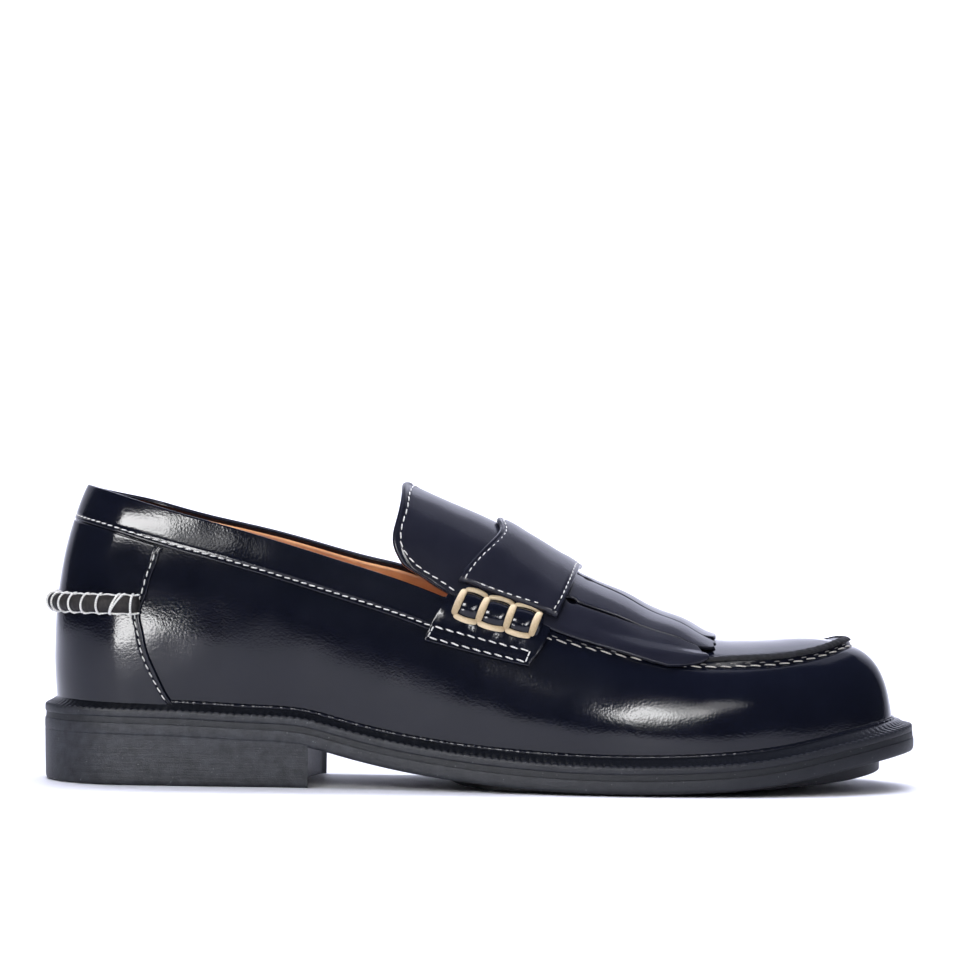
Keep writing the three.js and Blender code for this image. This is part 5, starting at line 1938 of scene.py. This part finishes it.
@dataclass
class Studio:
    """Camera, floor and lights."""

    focal: float = 131.3
    turn: float = 3.5
    roll: float = 0.6
    away: float = 1100.0
    eye: float = 95.0

    def camera(self) -> None:
        """A level camera on the lateral side, a little towards the toe and rolled by a hair."""
        psi, r = math.radians(self.turn), math.radians(self.roll)
        aim = np.array([0.0, 0.0, self.eye]) + [0, -ORIGIN[1], 0]
        view = np.array([-math.sin(psi), math.cos(psi), 0.0])
        right0, up0 = np.array([math.cos(psi), math.sin(psi), 0.0]), np.array([0.0, 0.0, 1.0])
        right = math.cos(r) * right0 + math.sin(r) * up0
        up = math.cos(r) * up0 - math.sin(r) * right0
        data = bpy.data.cameras.new("camera")
        data.lens, data.sensor_width, data.clip_end = self.focal, 36.0, 50.0
        camera = bpy.data.objects.new("camera", data)
        bpy.context.scene.collection.objects.link(camera)
        matrix = np.eye(4)
        matrix[:3, 0], matrix[:3, 1], matrix[:3, 2] = right, up, -view
        matrix[:3, 3] = (aim - view * self.away) * MM
        camera.matrix_world = Matrix(matrix.tolist())
        bpy.context.scene.camera = camera

    def floor(self) -> bpy.types.Object:
        """A pale floor that curves up into a wall behind the shoe, a quarter circle between.

        Returns:
            The object.
        """
        bend = np.linspace(0, math.pi / 2, 24)
        profile = np.concatenate([
            [[-3.0, 0.0]], np.stack([1.6 + 0.9 * np.sin(bend), 0.9 - 0.9 * np.cos(bend)], -1), [[2.5, 3.0]],
        ])
        x = np.array([-3.2, 3.2])
        points = np.array([[[a, b, c] for a in x] for b, c in profile]).reshape(-1, 3)
        faces = grid_faces(len(profile), 2)[:, ::-1]
        mesh = bpy.data.meshes.new("floor")
        mesh.from_pydata(points.tolist(), [], faces.tolist())
        mesh.update()
        mesh.shade_smooth()
        piece = bpy.data.objects.new("floor", mesh)
        bpy.context.scene.collection.objects.link(piece)
        return piece

    def light(self, name: str, spot: Sequence[float], aim: Sequence[float], size: tuple[float, float],
              radiance: float, role: Role, spread: float = 180.0,
              colour: Sequence[float] = (1, 1, 1)) -> bpy.types.Object:
        """A soft box. Its power is pi times its area times its radiance.

        Args:
            name: its name.
            spot: its place in metres.
            aim: what it points at.
            size: its width and height.
            radiance: how bright its face is, where 1 is white.
            role: what it is for.
            spread: the angle that its light fans out to, in degrees.
            colour: its colour.

        Returns:
            The lamp.
        """
        data = bpy.data.lights.new(name, "AREA")
        data.shape, data.size, data.size_y = "RECTANGLE", size[0], size[1]
        data.energy = math.pi * size[0] * size[1] * radiance
        data.spread = math.radians(spread)
        data.color = colour
        lamp = bpy.data.objects.new(name, data)
        lamp.visible_glossy = role is not Role.FILL
        lamp.visible_diffuse = role is not Role.MIRROR
        lamp.visible_camera = False
        bpy.context.scene.collection.objects.link(lamp)
        lamp.location = spot
        lamp.rotation_mode = "QUATERNION"
        lamp.rotation_quaternion = (Vector(aim) - Vector(spot)).to_track_quat("-Z", "Y")
        return lamp

    def glow(self, name: str, seen_from: Sequence[float], turn: float, rise: float, half: tuple[float, float],
             radiance: float, away: float = 1.05, slant: float = 0.0) -> None:
        """A box that only gloss shows, placed by the direction in which the leather mirrors it.

        Args:
            name: its name.
            seen_from: the place on the shoe.
            turn: degrees from straight ahead of that side, positive towards the toe.
            rise: degrees over the level.
            half: half its width and height in degrees.
            radiance: how bright its face is.
            away: its distance.
            slant: degrees by which it is turned about its own middle.
        """
        a, b = math.radians(turn), math.radians(rise)
        ahead = np.array([math.sin(a) * math.cos(b), -math.cos(a) * math.cos(b), math.sin(b)])
        size = tuple(2 * away * math.tan(math.radians(h)) for h in half)
        spot = (np.asarray(seen_from) + away * ahead).tolist()
        lamp = self.light(name, spot, seen_from, size, radiance, Role.MIRROR)
        lamp.rotation_quaternion = lamp.rotation_quaternion @ Quaternion((0, 0, 1), math.radians(slant))

    def lights(self) -> None:
        """Even light on floor and wall that no gloss shows, a dim panel overhead, a soft fill in
        front, and small boxes whose reflections are the highlights on collar, counter and vamp."""
        cool = (0.82, 0.84, 1.0)
        self.light("floor_light", (0.0, 0.90, 0.6), (0.0, 0.90, 0.0), (2.9, 2.85), 0.95, Role.FILL, 45, cool)
        self.light("wall_light", (0.0, 0.7, 2.4), (0.0, 2.5, 0.9), (3.2, 0.9), 18.0, Role.FILL, 180, cool)
        self.light("overhead_panel", (0.1, 1.0, 1.7), (0.1, 0.8, 0.0), (2.2, 1.7), 0.8, Role.BOTH, 180, cool)
        self.light("front_fill", (-0.2, -1.3, 0.9), (0.0, 0.0, 0.03), (0.8, 0.6), 1.0, Role.FILL, 60)
        heel, ball = (-0.10, -0.03, 0.08), (0.05, -0.042, 0.025)
        self.glow("collar_box", heel, -33, 31, (18, 6), 29.0)
        self.glow("collar_edge", heel, -11, 22.5, (4, 4), 5.0)
        counter = (-0.10, -0.033, 0.0245)
        self.light("counter_box", (-0.229, -0.36, 0.0245), counter, (0.12, 0.045), 30.0, Role.MIRROR)
        strips = ((14, 23, (20, 6.5), 4.0), (10, 20, (13, 5), 7.0), (7, 18, (9, 4), 16.0))
        for k, (turn, rise, half, radiance) in enumerate(strips):
            self.glow(f"vamp_strip_{k}", ball, turn, rise, half, radiance, 0.6, 46)
        world = bpy.data.worlds.new("studio")
        world.use_nodes = True
        back = world.node_tree.nodes["Background"]
        back.inputs["Color"].default_value = (0.80, 0.84, 1.0, 1)
        back.inputs["Strength"].default_value = 0.05
        bpy.context.scene.world = world
        bpy.context.scene.view_settings.view_transform = "Standard"


def dress(pieces: Sequence[bpy.types.Object], material: bpy.types.Material) -> None:
    """Gives pieces their finish and logs each one."""
    for piece in pieces:
        piece.data.materials.clear()
        piece.data.materials.append(material)
        log.info("%s: %d faces, %s", piece.name, len(piece.data.polygons), material.name)


def main() -> None:
    """Builds the shoe's pieces in order, dresses them and sets up the studio."""
    logging.basicConfig(level=logging.INFO, format="%(message)s")
    studio = Studio()
    studio.camera()
    last = Last()
    upper = Upper(last)
    instep = Instep(last, upper)
    heel_roll = HeelRoll(last)
    sole = Sole(last)

    leather = PolishedLeather("polished_leather").build()
    # Painted sheen: the lighter base colour of tongue, strap and fringe stands for the overhead light that
    # they mirror. Their higher roughness is their own.
    vamp = PolishedLeather(
        "overlay_leather_painted_sheen", (0.0105, 0.0112, 0.0185, 1), (0.0130, 0.0138, 0.0215, 1), roughness=0.18
    ).build()
    ridge = RoughLeather("ridge_leather", (0.0030, 0.0030, 0.0038, 1), (0.014, 0.014, 0.016, 1)).build()
    rough = RoughLeather("rough_leather").build()
    tan = TanLining("tan_lining").build()
    rubber = SoleRubber("sole_rubber").build()
    # Painted shade: the midsole rubber is darker, standing for the shade in the groove where it sits in
    # between welt and outsole.
    groove_shade_rubber = SoleRubber(
        "midsole_rubber_painted_shade", (0.006, 0.007, 0.0095, 1), (0.019, 0.021, 0.027, 1), 0.50
    ).build()
    welt_rubber = SoleRubber(
        "welt_rubber", (0.009, 0.010, 0.014, 1), (0.028, 0.031, 0.038, 1), edge=Edge.RIDGES
    ).build()
    heel_rubber = SoleRubber("heel_rubber", edge=Edge.STREAKS).build()
    waxed = Yarn("waxed_thread", (0.62, 0.59, 0.52, 1), (0.34, 0.31, 0.26, 1)).build()
    faint = Yarn("faint_thread", (0.26, 0.25, 0.23, 1), (0.12, 0.11, 0.10, 1)).build()
    white = Yarn("white_thread", (0.88, 0.87, 0.82, 1), (0.66, 0.64, 0.58, 1)).build()
    straw = Yarn("straw_cord", (0.74, 0.59, 0.37, 1), (0.42, 0.30, 0.16, 1), 0.35, 0.0002).build()

    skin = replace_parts(upper.shell("upper_leather", -1.1, 0.0, True, (252, 96)), "upper")
    dress([skin], leather)
    dress([upper.shell("upper_lining", -2.2, -1.12, False, (150, 48), (0.027, 0.034))], tan)
    dress([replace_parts(upper.band(), "collar_band")], leather)
    dress([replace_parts(upper.counter(), "heel_counter")], leather)
    dress(upper.threads(), white)
    bold, fine = upper.apron_threads()
    dress([bold], waxed)
    dress([fine], faint)
    dress([upper.apron_edge()], ridge)
    dress([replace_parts(heel_roll.roll(), "heel_kicker")], rough)
    dress([heel_roll.whipping()], white)

    dress([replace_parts(instep.tongue(), "tongue")], vamp)
    dress([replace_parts(instep.strap(), "saddle_strap")], vamp)
    lobes = instep.kiltie()
    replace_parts(lobes[-1], "kiltie")
    dress(lobes, vamp)
    dress(instep.threads(), white)
    for side in Side:
        end = StrapEnd(last, side)
        dress([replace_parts(end.tab(), f"strap_tab_{end.tag}")], leather)
        dress([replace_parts(end.roll(), f"beef_roll_{end.tag}")], leather)
        dress([end.cord()], straw)
        dress(end.threads(), white)

    dress([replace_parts(sole.welt(), "welt")], welt_rubber)
    dress([sole.bead()], leather)
    dress([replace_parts(sole.midsole(), "midsole")], groove_shade_rubber)
    dress([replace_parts(sole.outsole(), "outsole")], rubber)
    dress([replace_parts(sole.tread(), "forefoot_tread")], rubber)
    dress([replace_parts(sole.heel(), "heel_block")], heel_rubber)
    dress([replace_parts(sole.insole(), "insole")], tan)

    floor = studio.floor()
    floor.data.materials.append(Paint("studio_floor", (0.70, 0.70, 0.715, 1)).build())
    studio.lights()


if __name__ == "__main__":
    main()
